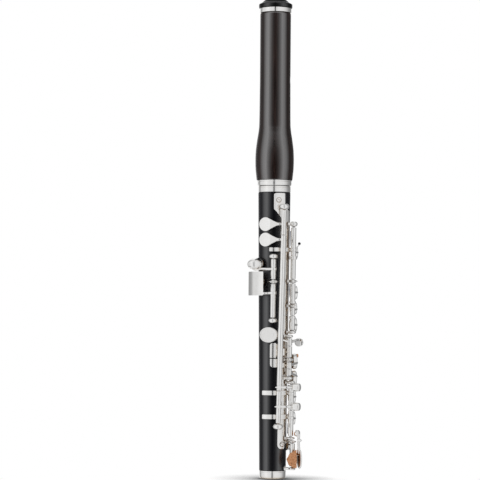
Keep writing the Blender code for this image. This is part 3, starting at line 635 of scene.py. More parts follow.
PEGS = (("thumb_post_top", THUMB, -117), ("thumb_post_middle", THUMB, -117.4), ("thumb_post_foot",
    THUMB, -118), ("e_flat_post_top", E_FLAT, -45), ("e_flat_post_foot", E_FLAT, -48))


def body_wood():
    seat = BODY_TOP_RADIUS - 0.85
    foot_seat = BODY_FOOT_RADIUS - 1.25
    tenon = 7.4
    top = height_of("body_wood", 1)
    profile = [(tenon - 0.5, top), (tenon, top - 0.5), (tenon, 205), (tenon, 204.9), (tenon, 192.9),
        (tenon, SHOULDER + 4), (seat, SHOULDER + 4), (seat, SHOULDER), (BODY_TOP_RADIUS - 0.25, SHOULDER),
        (BODY_TOP_RADIUS, SHOULDER - 0.25)]
    heights = [SHOULDER - 0.25 + (BODY_FOOT + 0.5 - SHOULDER) * i / 12 for i in range(1, 13)]
    profile += [(body_radius(h), h) for h in heights]
    profile += [(BODY_FOOT_RADIUS, BODY_FOOT + 0.15), (BODY_FOOT_RADIUS - 0.15, BODY_FOOT), (foot_seat,
        BODY_FOOT), (foot_seat, 1.2), (4.3, 1.2), (5.5, top)]
    wood = upright(profile)
    cutters = [hole_cutter(hole) for hole in HOLE_HEIGHTS]
    for node, rod, angle in PEGS:
        height = (height_of(node, 0) + height_of(node, 1)) / 2
        base = around(angle, body_radius(height) - 2.8, height)
        rise = rod.at(height) - base
        cutters.append(turned([(0, 0), (1.25, 0), (1.25, rise.length), (0, rise.length)], base, rise, 20))
    for node in SCREWS:
        out, seat = screw_seat(node)
        cutters.append(turned([(0, 0), (0.9, 0), (0.9, -3.5), (0, -3.5)], seat, out, 20))
    cut(wood, join(cutters[0], cutters[2::2]), join(cutters[1], cutters[3::2]))
    return finish(wood, "body_wood", BODY_WOOD)


def bead(low, high, radius, inner, edge=0.3):
    """A plain ring with rounded outer edges."""
    return [(inner, high), (radius - edge, high), (radius - edge * 0.3, high - edge * 0.3), (radius, high
        - edge), (radius, low + edge), (radius - edge * 0.3, low + edge * 0.3), (radius - edge, low),
        (inner, low)]


def rings():
    low, high = height_of("body_top_ring", 0), height_of("body_top_ring", 1)
    radius = half_width("body_top_ring")
    inner = BODY_TOP_RADIUS - 0.7
    groove = high - 1
    profile = [(inner, high), (radius - 0.3, high), (radius - 0.08, high - 0.12), (radius, high - 0.35),
        (radius, groove + 0.12), (radius - 0.14, groove), (radius - 0.02, groove - 0.12), (radius - 0.02,
        low + 0.35), (radius - 0.12, low + 0.1), (radius - 0.3, low), (inner, low)]
    finish(upright(profile), "body_top_ring", SILVER)
    inner = BODY_FOOT_RADIUS - 1.1
    profile = [(inner, BODY_FOOT - 0.1), (8.6, BODY_FOOT - 0.1), (8.75, BODY_FOOT - 0.18), (8.82,
        BODY_FOOT - 0.45), (8.8, BODY_FOOT - 0.9), (8.66, BODY_FOOT - 1.05), (8.74, BODY_FOOT - 1.2),
        (8.72, 1.5), (8.66, 1), (8.5, 0.5), (8.25, 0.15), (8, 0), (4.7, 0), (4.6, 0.1), (4.6, 0.95),
        (inner, 0.95)]
    finish(upright(profile), "foot_ring", SILVER)
    low, high = height_of("crown_ring", 0), height_of("crown_ring", 1)
    profile = [(9.15, high)] + bead(low, high, half_width("crown_ring"), 9.16, 0.4)[1:-1] + [(9.15, low)]
    finish(upright(profile), "crown_ring", SILVER)


def head_socket():
    """The socket's metal lining, and the flared ring that shows below the head's wood."""
    foot = height_of("head_socket", 0)
    top = height_of("head_socket", 1)
    ring_top = HEAD_FOOT - 0.12
    profile = [(8.6, top), (9.1, top), (9.25, top - 0.15), (9.25, ring_top), (11.3, ring_top), (11.47,
        ring_top - 0.1), (11.5, ring_top - 0.4), (11.38, ring_top - 0.85), (11.2, ring_top - 1), (11.3,
        ring_top - 1.15), (11.26, foot + 1.2), (11.12, foot + 0.45), (10.95, foot + 0.1), (10.75, foot),
        (8.8, foot), (8.6, foot + 0.4)]
    finish(upright(profile), "head_socket", SILVER)


def head_wood():
    """The head joint: straight for most of its length, then a bulb over the socket."""
    top = height_of("head_wood", 1)
    bulb = spline([(262, 10.1), (235.5, 10.3), (229.5, 10.62), (225, 11.28), (220.5, 11.95), (215.5,
        12.5), (209.5, 12.72), (203.5, 12.55), (199.5, 12.15), (HEAD_FOOT + 0.25, 11.82)], 4)
    outer = [(9, top), (9, HEAD_TOP), (9.6, HEAD_TOP), (9.85, HEAD_TOP - 0.15), (10.1, HEAD_TOP - 0.6),
        (10.15, HEAD_TOP - 1.1), (10.13, 290), (10.11, 276)]
    outer += [(float(p[1]), float(p[0])) for p in bulb]
    outer += [(11.65, HEAD_FOOT)]
    socket = 9.4
    depth = HEAD_FOOT + 14
    inner = [(socket, HEAD_FOOT), (socket, depth), (5.5, depth), (5.5, 240), (5.5, top)]
    wood = upright(outer + inner)
    middle = 262.5
    ovals = []
    for reach, scale in ((3, 1.22), (6.5, 1.06), (8, 1), (9.4, 1), (10, 1.035), (10.6, 1.13), (14, 1.8)):
        ovals.append(oval(Vector((reach, 0, middle - LENGTH)), Vector((0, 1, 0)), UP, 5.9 * scale, 4.95
            * scale, 48))
    cut(wood, skin(ovals))
    return finish(wood, "head_wood", HEAD_WOOD)


def crown():
    flange = height_of("crown_ring", 1) + 0.15
    top = LENGTH
    shoulder = spline([(5.2, top), (6.4, top - 0.32), (7.7, top - 1.35), (8.9, top - 2.55), (10.2, top
        - 3.3), (10.85, top - 3.65), (11.05, top - 4.05)], 4)
    profile = [(0, top)] + [(float(r), float(h)) for r, h in shoulder]
    profile += [(11.05, flange + 0.45), (10.95, flange + 0.12), (10.7, flange), (5.25, flange), (5.25,
        304.6), (4.9, 304), (1.8, 304), (1.8, 312), (0, 312)]
    finish(upright(profile, ring=False), "crown", CROWN_WOOD)


def stopper():
    """The threaded rod with its two plates, and the cork between them."""
    threads = [(1.5 - 0.25 * (i % 2), 310.4 - 0.35 * i) for i in range(58)]
    profile = [(0, 311), (1.1, 311)] + threads
    profile += [(1.5, 284.4), (3.6, 284.4), (3.8, 284.2), (3.8, 283.2), (3.6, 283), (1.5, 283), (1.5,
        271.3), (4.85, 271.3), (5, 271.15), (5, 270.35), (4.85, 270.2), (0, 270.2)]
    finish(upright(profile, 40, ring=False), "stopper_rod", STEEL)
    profile = [(1.7, 282.8), (4.9, 282.8), (5.2, 282.55), (5.3, 282.1), (5.26, 277.2), (5.3, 272.2), (5.2,
        271.75), (4.9, 271.5), (1.7, 271.5)]
    finish(upright(profile, 48), "stopper_cork", JOINT_CORK)


def tenon_cork():
    low, high = height_of("tenon_cork", 0), height_of("tenon_cork", 1)
    ridges = []
    for i in range(9):
        height = high - 0.9 - (high - low - 1.8) * i / 8
        ridges.append((8.3 if i % 2 == 0 else 8.22, height))
    profile = [(7.55, high), (8, high), (8.2, high - 0.3)] + ridges + [(8.2, low + 0.3), (8, low), (7.55, low)]
    finish(upright(profile), "tenon_cork", JOINT_CORK)


# ---------------------------------------------------------------- strap, posts, steels and springs

STRAP_ANGLE = -75
# The posts soldered to the strap, by rod: height, head radius, half thickness and ball or cone. The last number is
# the angle where their stems stand.
STRAP_POSTS = ((UPPER, ((167, 2.5, 1.7, True), (129.5, 3.2, 1.1, False), (113.3, 3.1, 0.9, False), (96,
    2.6, 1.1, True)), -62.3), (MIDDLE, ((93.4, 2.3, 1, True), (78, 2.7, 1, False), (65.9, 2.4, 1.2,
    True)), -68), (LOWER, ((63.2, 2.5, 1.1, True), (26.7, 2.8, 0.9, True)), -63.1), (TRILL, ((178, 3.2,
    1.9, True), (34.6, 3.4, 1.9, True)), -86),)
PEG_POSTS = {"thumb_post_top": (145.5, 2.8, 1.6, True), "thumb_post_middle": (129, 3.2, 1.2, False),
    "thumb_post_foot": (103.6, 2.8, 1.6, True), "e_flat_post_top": (24.4, 2.5, 0.8, True),
    "e_flat_post_foot": (6.7, 2.3, 1, True)}


def strap_place(x, y, z):
    """x runs up the strap from its middle and y across it, towards the tone holes."""
    radius = body_radius(x) + STRAP_LIFT + z
    angle = STRAP_ANGLE + degrees(asin(max(-0.95, min(0.95, y / radius))))
    return around(angle, radius, x)


def strap_plate():
    top = height_of("body_top_ring", 0) - 0.8
    foot = 19.5
    outline = [(top, -7.3), (top, -0.5), (178, -0.3), (175.4, 4.1), (31.2, 4.1), (29.3, 2.8), (foot, 2.8),
        (foot, -3.6), (170.8, -3.3), (176.4, -7.2)]
    corners = [1.1, 1, 1.2, 1, 0.8, 0.8, 3, 3, 2, 2]
    return wrapped(rounded(outline, corners), PLATE_THICKNESS, strap_place, 0.2, 8, 1.2)


def post_head(rod, height, radius, half, ball):
    """A post's head, turned about its rod and bored for the steel: a ball, or a double cone with a thin rim."""
    bore = POST_BORE
    if ball:
        arcs = [radians(a) for a in (62, 48, 34, 20, 7, -7, -20, -34, -48, -62)]
        outer = [(radius * cos(a) ** 0.72, half * 1.06 * sin(a)) for a in arcs]
    else:
        outer = [(1.75, half), (1.95, half * 0.9), (radius - 0.25, 0.28), (radius - 0.05, 0.16), (radius,
            0), (radius - 0.05, -0.16), (radius - 0.25, -0.28), (1.95, -half * 0.9), (1.75, -half)]
    profile = [(bore, half)] + outer + [(bore, -half)]
    return turned(profile, rod.at(height), rod.axis, 40, ring=True)


def post_stem(rod, height, foot, half, peg):
    """The stem from the head's bore down to its flared foot, and a peg below where it stands in wood."""
    rise = rod.at(height) - foot
    reach = rise.length - POST_BORE - 0.25
    waist = min(0.95, half * 0.9)
    profile = [(0, reach), (waist, reach), (waist, reach * 0.45), (waist + 0.08, reach * 0.22), (waist
        + 0.3, 0.42), (waist + 0.62, 0.16), (waist + 0.66, 0)]
    profile += [(1, -0.05), (1, -2.3), (0.8, -2.5), (0, -2.5)] if peg else [(0, 0)]
    return turned(profile, foot, rise, 24)


SCREWS = ("strap_screw_top", "strap_screw_foot")


def screw_seat(node):
    """Which way a strap screw faces, and the middle of its head's underside."""
    low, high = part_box(node)
    middle = (low + high) / 2 / MM
    angle = degrees(atan2(middle.y, middle.x))
    height = middle.z + LENGTH
    return direction(angle), around(angle, body_radius(height) + STRAP_LIFT + PLATE_THICKNESS + 0.1, height)


def strap_and_posts():
    strap = strap_plate()
    for rod, posts, foot_angle in STRAP_POSTS:
        for height, radius, half, ball in posts:
            foot = around(foot_angle, body_radius(height) + STRAP_LIFT + PLATE_THICKNESS - 0.12, height)
            head = post_head(rod, height, radius, half, ball)
            union(strap, union(head, post_stem(rod, height, foot, half, False)))
    for node in SCREWS:
        out, seat = screw_seat(node)
        cut(strap, turned([(1.3, -0.5), (1.85, -0.5), (1.85, 1), (1.3, 1)], seat, out, 40, ring=True))
    finish(strap, "key_strap", SILVER)


def peg_posts():
    for node, rod, angle in PEGS:
        height, radius, half, ball = PEG_POSTS[node]
        foot = around(angle, body_radius(height) + 0.05, height)
        post = union(post_head(rod, height, radius, half, ball), post_stem(rod, height, foot, half, True))
        finish(post, node, SILVER)


def slot_cutter(middle, axis, across, width, depth, length):
    side, third, up = axes_for(axis, across)
    corners = [(-length, -width), (length, -width), (length, width), (-length, width)]
    return skin([[middle + side * x + third * y + up * z for x, y in corners] for z in (-depth, depth)])


def strap_screws():
    """Round-headed screws with a slot, sunk a little into the strap."""
    for node in SCREWS:
        out, seat = screw_seat(node)
        profile = [(0, 0.62), (1.15, 0.62), (1.38, 0.5), (1.5, 0.25), (1.5, -0.3), (1.4, -0.4),
            (0.8, -0.4), (0.8, -2.9), (0.6, -3.2), (0, -3.2)]
        screw = turned(profile, seat, out, 40)
        tilt = Vector((0, 0, 0.55)) + out.cross(UP)
        cut(screw, slot_cutter(seat + out * 0.7, out, tilt, 0.24, 0.5, 3))
        finish(screw, node, SILVER)


def bar_profile(radius, length, edge):
    """A solid bar's profile, with both ends' edges broken."""
    return [(0, 0), (radius - edge, 0), (radius, edge), (radius, length - edge), (radius - edge, length),
        (0, length)]


def steels():
    for node, rod in (("upper_steel", UPPER), ("middle_steel", MIDDLE), ("lower_steel", LOWER),
            ("e_flat_steel", E_FLAT), ("thumb_steel", THUMB)):
        low, high = height_of(node, 0), height_of(node, 1)
        shaft = turned(bar_profile(STEEL_RADIUS, rod.length(low, high), 0.15), rod.at(low), rod.axis, 24)
        cut(shaft, slot_cutter(rod.at(high), rod.axis, Vector((1, 0, 0)), 0.14, 0.4, 1.5))
        finish(shaft, node, STEEL)


SPRINGS = {"c_spring": (UPPER, 162.5, 152.5), "a_spring": (UPPER, 127.8, 118.8), "d_spring": (LOWER, 29.6,
    36.6), "e_spring": (LOWER, 61.6, 57.6), "b_thumb_spring": (THUMB, 106, 116)}


def needle_springs():
    """Blued needles that taper towards their free end."""
    for node, (rod, start, end) in SPRINGS.items():
        inward = Vector((-rod.at(start).x, -rod.at(start).y, 0)).normalized() * 2.3
        first, last = rod.at(start) + inward, rod.at(end) + inward
        middle = first.lerp(last, 0.5) + inward.normalized() * 0.08
        finish(sweep([first, middle, last], [0.24, 0.2, 0.1], 10), node, BLUED)


# ---------------------------------------------------------------- parts of a key

def tube(rod, low, high, radius=TUBE_RADIUS + 0.12):
    """A hinge tube with softly broken ends."""
    length = rod.length(low, high)
    profile = [(TUBE_BORE, 0), (radius - 0.18, 0), (radius - 0.05, 0.05), (radius, 0.18), (radius, length
        / 2), (radius, length - 0.18), (radius - 0.05, length - 0.05), (radius - 0.18, length),
        (TUBE_BORE, length)]
    return turned(profile, rod.at(low), rod.axis, TUBE_STEPS, ring=True)


def band(rod, height, radius=2.1, width=1.4):
    """A rounded collar on a tube, with a fine step at each side."""
    half = width / 2
    profile = [(TUBE_RADIUS - 0.3, half), (TUBE_RADIUS + 0.12, half), (radius - 0.12, half * 0.82),
        (radius, half * 0.45), (radius, -half * 0.45), (radius - 0.12, -half * 0.82), (TUBE_RADIUS
        + 0.12, -half), (TUBE_RADIUS - 0.3, -half)]
    return turned(profile, rod.at(height), rod.axis, 32, ring=True)


def pad(hole, shave=0):
    """A skin-covered pad: full at its edge, with the ring that its tone hole has pressed into it."""
    disc = PADS[hole]
    mark = hole_radius(hole) + 0.2
    edge = disc.radius
    deep = disc.depth - shave
    profile = [(0, deep), (edge - 0.1, deep), (edge, deep - 0.15), (edge + 0.04, 0.9), (edge - 0.02,
        0.45), (edge - 0.2, 0.16), (edge - 0.5, 0.02), (mark + 0.28, 0), (mark + 0.1, 0.1), (mark - 0.1,
        0.1), (mark - 0.28, 0.02), (mark * 0.5, 0), (0, 0)]
    finish(turned(profile, disc.skin, disc.out, 40), hole + "_pad", PAD)


def cup(hole, top_sag=0.22, trim=0, drop=0):
    """A round key cup: a thin wall with a turned lip, and a gently domed top."""
    disc = PADS[hole]
    r = disc.cup_radius - trim
    high = CUP_HEIGHT - drop
    inner = disc.cup_radius - CUP_SKIN
    ceiling = high - 0.85
    profile = [(0, high), (r * 0.4, high - top_sag * 0.12), (r * 0.7, high - top_sag * 0.45), (r - 0.75,
        high - top_sag), (r - 0.4, high - top_sag - 0.12), (r - 0.14, high - top_sag - 0.38), (r - 0.03,
        high - top_sag - 0.75), (r - 0.06, 0.75), (r - 0.04, 0.5), (r, 0.36), (r, 0.1), (r - 0.1, 0),
        (inner, 0), (inner, ceiling - 0.3), (inner - 0.3, ceiling), (0, ceiling)]
    return turned(profile, disc.rim, disc.out, 48)


def cup_arm(hole, rod, low, high):
    """A pointed arm: from the tube, over the cup's rim, tapering to the middle of its top."""
    disc = PADS[hole]
    margin = min(1.9, (high - low) / 2)
    root = min(max(disc.top.z + LENGTH, low + margin), high - margin)
    start = rod.at(root)
    side = disc.across_to(start).normalized()
    edge = disc.top + side * (disc.cup_radius - 0.1) - disc.out * 0.85
    shoulder = start.lerp(edge, 0.52) - disc.out * 0.1
    inside = disc.top + side * (disc.cup_radius * 0.55) - disc.out * 0.5
    tip = disc.top - side * 0.5 - disc.out * 0.16
    path = [rod.facing(root, shoulder, 1.25), shoulder, edge, inside, tip]
    return sweep(path, [1, 0.86, 0.8, 0.62, 0.2], 16)


def curved_bar(start, end, low, high, inner, thickness=PLATE_THICKNESS, corners=0.6, pitch=0.8):
    """A bar bent round the bore between two angles, with rounded corners at its free end."""
    middle = inner + thickness / 2
    left, right = sorted((radians(start) * middle, radians(end) * middle))
    outline = rounded([(left, low), (right, low), (right, high), (left, high)], corners)

    def place(x, y, z):
        return around(degrees(x / middle), inner + z, y)

    return wrapped(outline, thickness, place, 0.2, pitch)


def kicker(rod, middle, width, end, lift=KICKER_LIFT):
    """The flat foot that reaches round under the trill rod and stops the key when it opens."""
    inner = body_radius(middle + width / 2) + lift
    start = rod.angle(middle)
    bar = curved_bar(start + 4, end, middle - width / 2, middle + width / 2, inner)
    foot = around(start, inner + 0.4, middle)
    to_rod = (rod.at(middle) - foot).normalized()
    block = sweep([foot, foot + to_rod, rod.at(middle) - to_rod * 1.25], [1.25, 1.1, 1.2], 16, 3)
    return union(bar, block)


def key(node, rod, pieces, split=False):
    """A key: its hinge tube, or tubes, joined to its cup, arms and touches."""
    spans = tube_spans(node, rod, split)
    made = tube(rod, *spans[0])
    for low, high in spans[1:]:
        pieces.append(tube(rod, low, high))
    union(made, *pieces)
    return finish(made, node, SILVER)


def finger_key(hole, rod, *extra):
    node = hole + "_key"
    low, high = tube_spans(node, rod)[0]
    key(node, rod, [cup(hole), cup_arm(hole, rod, low, high), *extra])
    pad(hole)


# ---------------------------------------------------------------- left-hand keys

def upper_keys():
    finger_key("c", UPPER, band(UPPER, 144.8, 2.5, 2.6), band(UPPER, 150.1, 2.05, 2.4), kicker(UPPER,
        150.1, 2.6, -131))
    finger_key("a", UPPER, band(UPPER, 115.6, 2.2, 1.6))
    finger_key("b_flat", UPPER)
    finger_key("g", UPPER, band(UPPER, 105.6, 2.1, 1.8))


def pear(hole, tip, neck, spread):
    """A closed side key's face: a round cup drawn out to a narrow tip, with a softly raised rim."""
    disc = PADS[hole]
    r = disc.cup_radius + 0.3
    to_tip = disc.across_to(tip)
    reach = to_tip.length
    side, third, up = axes_for(disc.out, to_tip)
    start = Vector((r * cos(spread), r * sin(spread)))
    run = (start.y - neck) * tan(spread)
    flank = curve(start, Vector((min(start.x + run, reach * 0.97), neck)), Vector((reach, neck)), 8)[1:]
    arc = [spread + (2 * pi - 2 * spread) * i / 40 for i in range(41)]
    outline = [(r * cos(a), r * sin(a)) for a in arc]
    outline += [(x, -y) for x, y in flank] + [(x, y) for x, y in reversed(flank)]
    turns = [spread * 0.55 + (2 * pi - 1.1 * spread) * i / 40 for i in range(41)]
    turns += [-spread * 0.55 + 1.1 * spread * i / 17 for i in range(1, 17)]

    def loop(inset, lift, droop):
        points = []
        for x, y in outline:
            away = hypot(x, y)
            past = max(0, (away - r) / (reach - r))
            shrink = (away - inset) / away
            points.append(disc.top + side * x * shrink + third * y * shrink + up * (lift - droop * past))
        return points

    def circle(radius, lift):
        return [disc.top + (side * cos(a) + third * sin(a)) * radius + up * lift for a in turns]

    face = skin([loop(0.3, -0.85, 0.5), loop(0, -0.55, 0.6), loop(0, -0.12, 0.75), loop(0.12, 0.05, 0.75),
        loop(0.3, 0.14, 0.75), circle(r - 0.8, 0.12), circle(r - 1.5, 0.08), circle(r - 2.4, 0.06)])
    return face, disc.top + side * (reach - 0.4) - up * 0.62


def trill_cup(hole, rod):
    height = HOLE_HEIGHTS[hole]
    face, end = pear(hole, around(-104.5, body_radius(height) + 3.3, height), 1.15, radians(60))
    near = rod.facing(height, end)
    return [union(cup(hole, 0.6), face), sweep([end, end.lerp(near, 0.5), near], [1.3, 0.92, 0.9], 16, 4)]


def trill_knob(rod, height):
    """The drum-shaped touch that the right hand presses, on its bent arm, with a pointed boss behind the tube."""
    radius = body_radius(height) + 9.4
    base = around(-71, radius, height)
    out = direction(-42)
    profile = [(0, 5), (1, 4.97), (1.75, 4.84), (2.25, 4.55), (2.6, 4.1), (2.75, 3.5), (2.75, 0.7), (2.66,
        0.3), (2.45, 0.08), (2.2, 0), (0, 0)]
    knob = turned(profile, base, out, 40)
    bend = around(-84, radius, height)
    arm = sweep([rod.facing(height, bend), bend, base + out * 0.6], [1, 0.92, 1], 16, 6)
    boss = turned([(0, 3.7), (0.22, 3.6), (0.5, 2.8), (0.9, 2.1), (1.4, 1.6), (1.5, 1.3), (1.4, 1.1), (0,
        1.1)], rod.at(height), direction(-160), 24)
    return [knob, arm, boss, band(rod, height, 1.95, 2.6)]


def trill_keys():
    rod = TRILL
    key("d_trill_key", rod, trill_cup("d_trill", rod) + trill_knob(rod, 60.2))
    pad("d_trill")
    low, high = height_of("d_sharp_trill_key", 0), height_of("d_sharp_trill_key", 1)
    shaft = turned(bar_profile(STEEL_RADIUS, rod.length(low, high), 0.12), rod.at(low), rod.axis, 20)
    spans = tube_spans("d_sharp_trill_key", rod, split=True)
    sleeves = []
    for start, end in spans:
        reach = rod.length(start, end)
        sleeves.append(turned([(0, 0), (1.42, 0), (1.55, 0.05), (1.6, 0.18), (1.6, reach - 0.18), (1.55,
            reach - 0.05), (1.42, reach), (0, reach)], rod.at(start), rod.axis))
    made = union(shaft, *sleeves, *trill_cup("d_sharp_trill", rod), *trill_knob(rod, 47.6))
    finish(made, "d_sharp_trill_key", SILVER)
    pad("d_sharp_trill")


def thumb_dome():
    """A rounded touch on the cup's top, flat along its lower side."""
    disc = PADS["b_flat_thumb"]
    side, third, up = axes_for(disc.out, UP)
    loops = []
    for reach, radius in ((-1.95, 3.7), (-1.85, 3.98), (-1.6, 4.12), (-0.4, 4.12), (0.8, 4.05), (2, 3.85),
            (3.1, 3.5), (4.1, 3), (4.9, 2.35), (5.45, 1.6), (5.75, 0.8)):
        points = []
        for i in range(44):
            a = 2 * pi * i / 44
            high = max(radius * cos(a), -min(radius * 0.8, 3.1)) - 0.4
            points.append(disc.top + up * reach + side * high + third * radius * 1.22 * sin(a))
        loops.append(points)
    return skin(loops)


def thumb_keys():
    rod = THUMB
    disc = PADS["b_flat_thumb"]
    height = 137.2
    bend = around(-150, body_radius(height) + 4.2, height)
    end = disc.top + UP * -3.5 + disc.out * 1.2
    first = rod.facing(height, bend)
    arm = sweep([first, first.lerp(bend, 0.6), bend.lerp(end, 0.45), end, end + disc.out * 3.2 + UP
        * 1.2], [1, 0.9, 0.9, 0.95, 0.5], 16)
    key("b_flat_thumb_key", rod, [cup("b_flat_thumb"), thumb_dome(), arm, band(rod, height, 2.1, 2.2)])
    pad("b_flat_thumb")

    disc = PADS["b_thumb"]
    low, high = 119.9, 135.6
    section = spline([(0, -141.2, 15.62), (3, -151, 15.42), (8, -168, 15.3), (13, -184.5, 15.62),
        (16.6, -196.8, 16.2)], 10)
    marks = [p[0] for p in section]

    def place(x, y, z):
        angle = float(np.interp(x, marks, [p[1] for p in section]))
        radius = float(np.interp(x, marks, [p[2] for p in section]))
        return around(angle, radius + z, y)

    outline = rounded([(0, low), (16.6, low), (16.6, high), (0, high)], [0.7, 0.9, 0.9, 0.7])
    touch = wrapped(outline, 0.75, place, 0.24, 0.6)
    foot = disc.top - disc.out * 0.4
    rise = 15.85 - hypot(disc.top.x, disc.top.y)
    riser = sweep([foot, foot + disc.out * 0.8, foot + disc.out * rise], [1.7, 1.5, 1.9], 20, 4)
    arm = sweep([rod.at(121.6) + direction(-150) * 1.2, around(-131, 14.6, 121.4), around(-141, 15.6,
        121.3), around(-154, 15.75, 121.3)], [1.05, 0.85, 0.85, 0.6], 16)
    key("b_thumb_key", rod, [cup("b_thumb"), riser, touch, arm, band(rod, 121.6, 2.2, 2.4)])
    pad("b_thumb")


# ---------------------------------------------------------------- G sharp and the side lever

def oval_dish(middle, out, across, long_half, short_half, thickness, hollow):
    """An oval touch with a rounded rim and a dished face."""
    side, third, up = axes_for(out, across)
    loops = []
    for scale, lift in ((0.55, -thickness), (0.88, -thickness * 0.95), (0.97, -thickness * 0.7),
            (1, -thickness * 0.35), (0.98, -0.08), (0.92, 0), (0.84, -hollow * 0.35), (0.6, -hollow
            * 0.85), (0.3, -hollow)):
        loops.append(oval(middle + up * lift, side, third, long_half * scale, short_half * scale, 40))
    return skin(loops)


OVAL_DROOP = 1.7


def oval_face(hole, tip):
    """A closed key's face drawn out to an oval, with a raised rim round a faintly sunk middle."""
    disc = PADS[hole]
    to_tip = disc.across_to(tip)
    side, third, up = axes_for(disc.out, to_tip)
    long_half = (to_tip.length + disc.cup_radius) / 2
    shift = long_half - disc.cup_radius - 0.35
    middle = disc.top + side * shift
    long_half += 0.2
    short_half = disc.cup_radius + 0.12
    loops = []
    for inset, lift in ((0.6, -1.5), (0.1, -1.3), (0, -1), (0.05, -0.15), (0.2, 0.04), (0.42, 0.12),
            (0.66, 0.11), (0.9, 0.06), (1.9, 0.06), (3.1, 0.06), (4.2, 0.06)):
        turns = [2 * pi * i / 56 for i in range(56)]
        loop = []
        for a in turns:
            along = (long_half - inset) * cos(a)
            past = (along + shift + disc.cup_radius) / (2 * long_half)
            loop.append(middle + up * (lift - OVAL_DROOP * past) + side * along + third * (short_half
                - inset) * sin(a))
        loops.append(loop)
    return skin(loops), middle + side * (long_half - 0.7) - up * (OVAL_DROOP + 0.5)


def g_sharp_key():
    rod = MIDDLE
    face, end = oval_face("g_sharp", around(-99.5, body_radius(94.2) + 2.2, 94.2))
    made = union(cup("g_sharp", 0.3, 0.25, 0.95), face)
    root = 89.5
    under = around(-88, body_radius(91) + 2.3, 91.3)
    neck = sweep([end, under, rod.facing(root, under)], [0.62, 0.6, 0.8], 14, 5)
    far = around(2, body_radius(89) + 9.9, 90.9)
    over = around(-34, body_radius(89) + 6.6, 90.9)
    arm = sweep([rod.facing(root, over), over, far], [0.95, 0.9, 0.8], 16)
    touch = oval_dish(around(6, body_radius(89) + 10.75, 89.2), direction(6), UP, 3, 5, 1.05, 0.35)
    key("g_sharp_key", rod, [made, neck, arm, touch])
    pad("g_sharp", 0.95)


def side_b_flat_lever():
    rod = MIDDLE
    inner = body_radius(89) + 1.5
    touch = curved_bar(-107, -127, 79.2, 88.9, inner, corners=(0.3, 0.3, 0.3, 2.3))
    tab = curved_bar(-99, -108, 79.9, 88.3, inner - 0.45, corners=0.3)
    foot = kicker(rod, 83, 4.6, -108.5, 1.45)
    key("side_b_flat_lever", rod, [foot, tab, touch])


# ---------------------------------------------------------------- right-hand keys

def right_hand_keys():
    inner = body_radius(78) + KICKER_LIFT
    sole = curved_bar(-100, -127, 73, 78.6, inner, corners=(2.3, 0.3, 0.3, 0.3))
    finger_key("f_sharp", MIDDLE, kicker(MIDDLE, 74.4, 3.2, -103), sole)
    finger_key("f", MIDDLE)
    finger_key("e", LOWER, kicker(LOWER, 56.3, 3, -156), band(LOWER, 55.8, 2.1, 2))
    finger_key("d", LOWER, kicker(LOWER, 40.7, 3, -156), band(LOWER, 39.9, 2.1, 2.4))


PADDLE_ANGLE = -51.2
PADDLE_RADIUS = 19.3
PADDLE_HEIGHT = 13.2


def e_flat_key():
    """A closed key: its raised paddle is pressed and lifts the cup on the far side of its rod."""
    rod = E_FLAT
    out = Vector((1, 0, 0))
    middle = around(PADDLE_ANGLE, PADDLE_RADIUS, PADDLE_HEIGHT)
    paddle = oval_dish(middle + out * 0.55, out, UP, 6.3, 3.4, 1.1, 0.4)
    first = rod.at(17)
    last = middle + UP * 3
    stem = sweep([rod.facing(17, last), first.lerp(last, 0.5), last], [1.15, 0.95, 0.9], 16)
    top = around(PADDLE_ANGLE, PADDLE_RADIUS - 0.5, 29.8)
    foot = middle + Vector((-0.2, 0.1, 3.6))
    bend = foot.lerp(top, 0.45) + direction(PADDLE_ANGLE) * -0.25
    rise = sweep([foot, bend, top], [1.2, 0.92, 0.95], 16)
    boss_foot = foot.lerp(top, 0.66)
    boss = turned([(0, 2.2), (0.25, 2.05), (0.7, 1.3), (1.25, 0.5), (1.35, 0.1), (1.2, -0.2), (0, -0.2)],
        boss_foot, direction(-38), 20)
    profile = [(0, 1.55), (0.9, 1.5), (1.6, 1.25), (2.05, 0.8), (2.2, 0.3), (2.2, -0.7), (2.05, -0.95),
        (1.8, -1), (0, -1)]
    button = turned(profile, around(PADDLE_ANGLE, PADDLE_RADIUS - 1.4, 30), direction(PADDLE_ANGLE), 36)
    low, high = tube_spans("e_flat_key", rod)[0]
    pieces = [cup("e_flat"), cup_arm("e_flat", rod, low, high), paddle, stem, rise, boss, button]
    key("e_flat_key", rod, pieces)
    pad("e_flat")


def e_flat_cork():
    """The cork wedge between the paddle and the tube, with rounded worn edges."""
    low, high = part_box("e_flat_cork")
    middle = (low + high) / 2 / MM
    facing = direction(-115)
    side, third, up = axes_for(facing, UP)
    centre = facing * 9.95 + direction(-25) * 12.2 + UP * middle.z
    outline = rounded([(6.1, -3.3), (3.2, 1.2), (-0.4, 3.3), (-3.9, 1.9), (-5.9, -1.4), (-6.1, -3.4)], 0.5, 3)

    def place(x, y, z):
        wave = 0.09 * sin(x * 2.3 + y) + 0.07 * sin(y * 3.1 - x * 1.7)
        return centre + side * (x + wave * 0.6) + third * (y + wave * 0.5) + up * (z - 1.4)

    finish(wrapped(outline, 2.8, place, 0.35, 0.8, 0.8), "e_flat_cork", KEY_CORK)


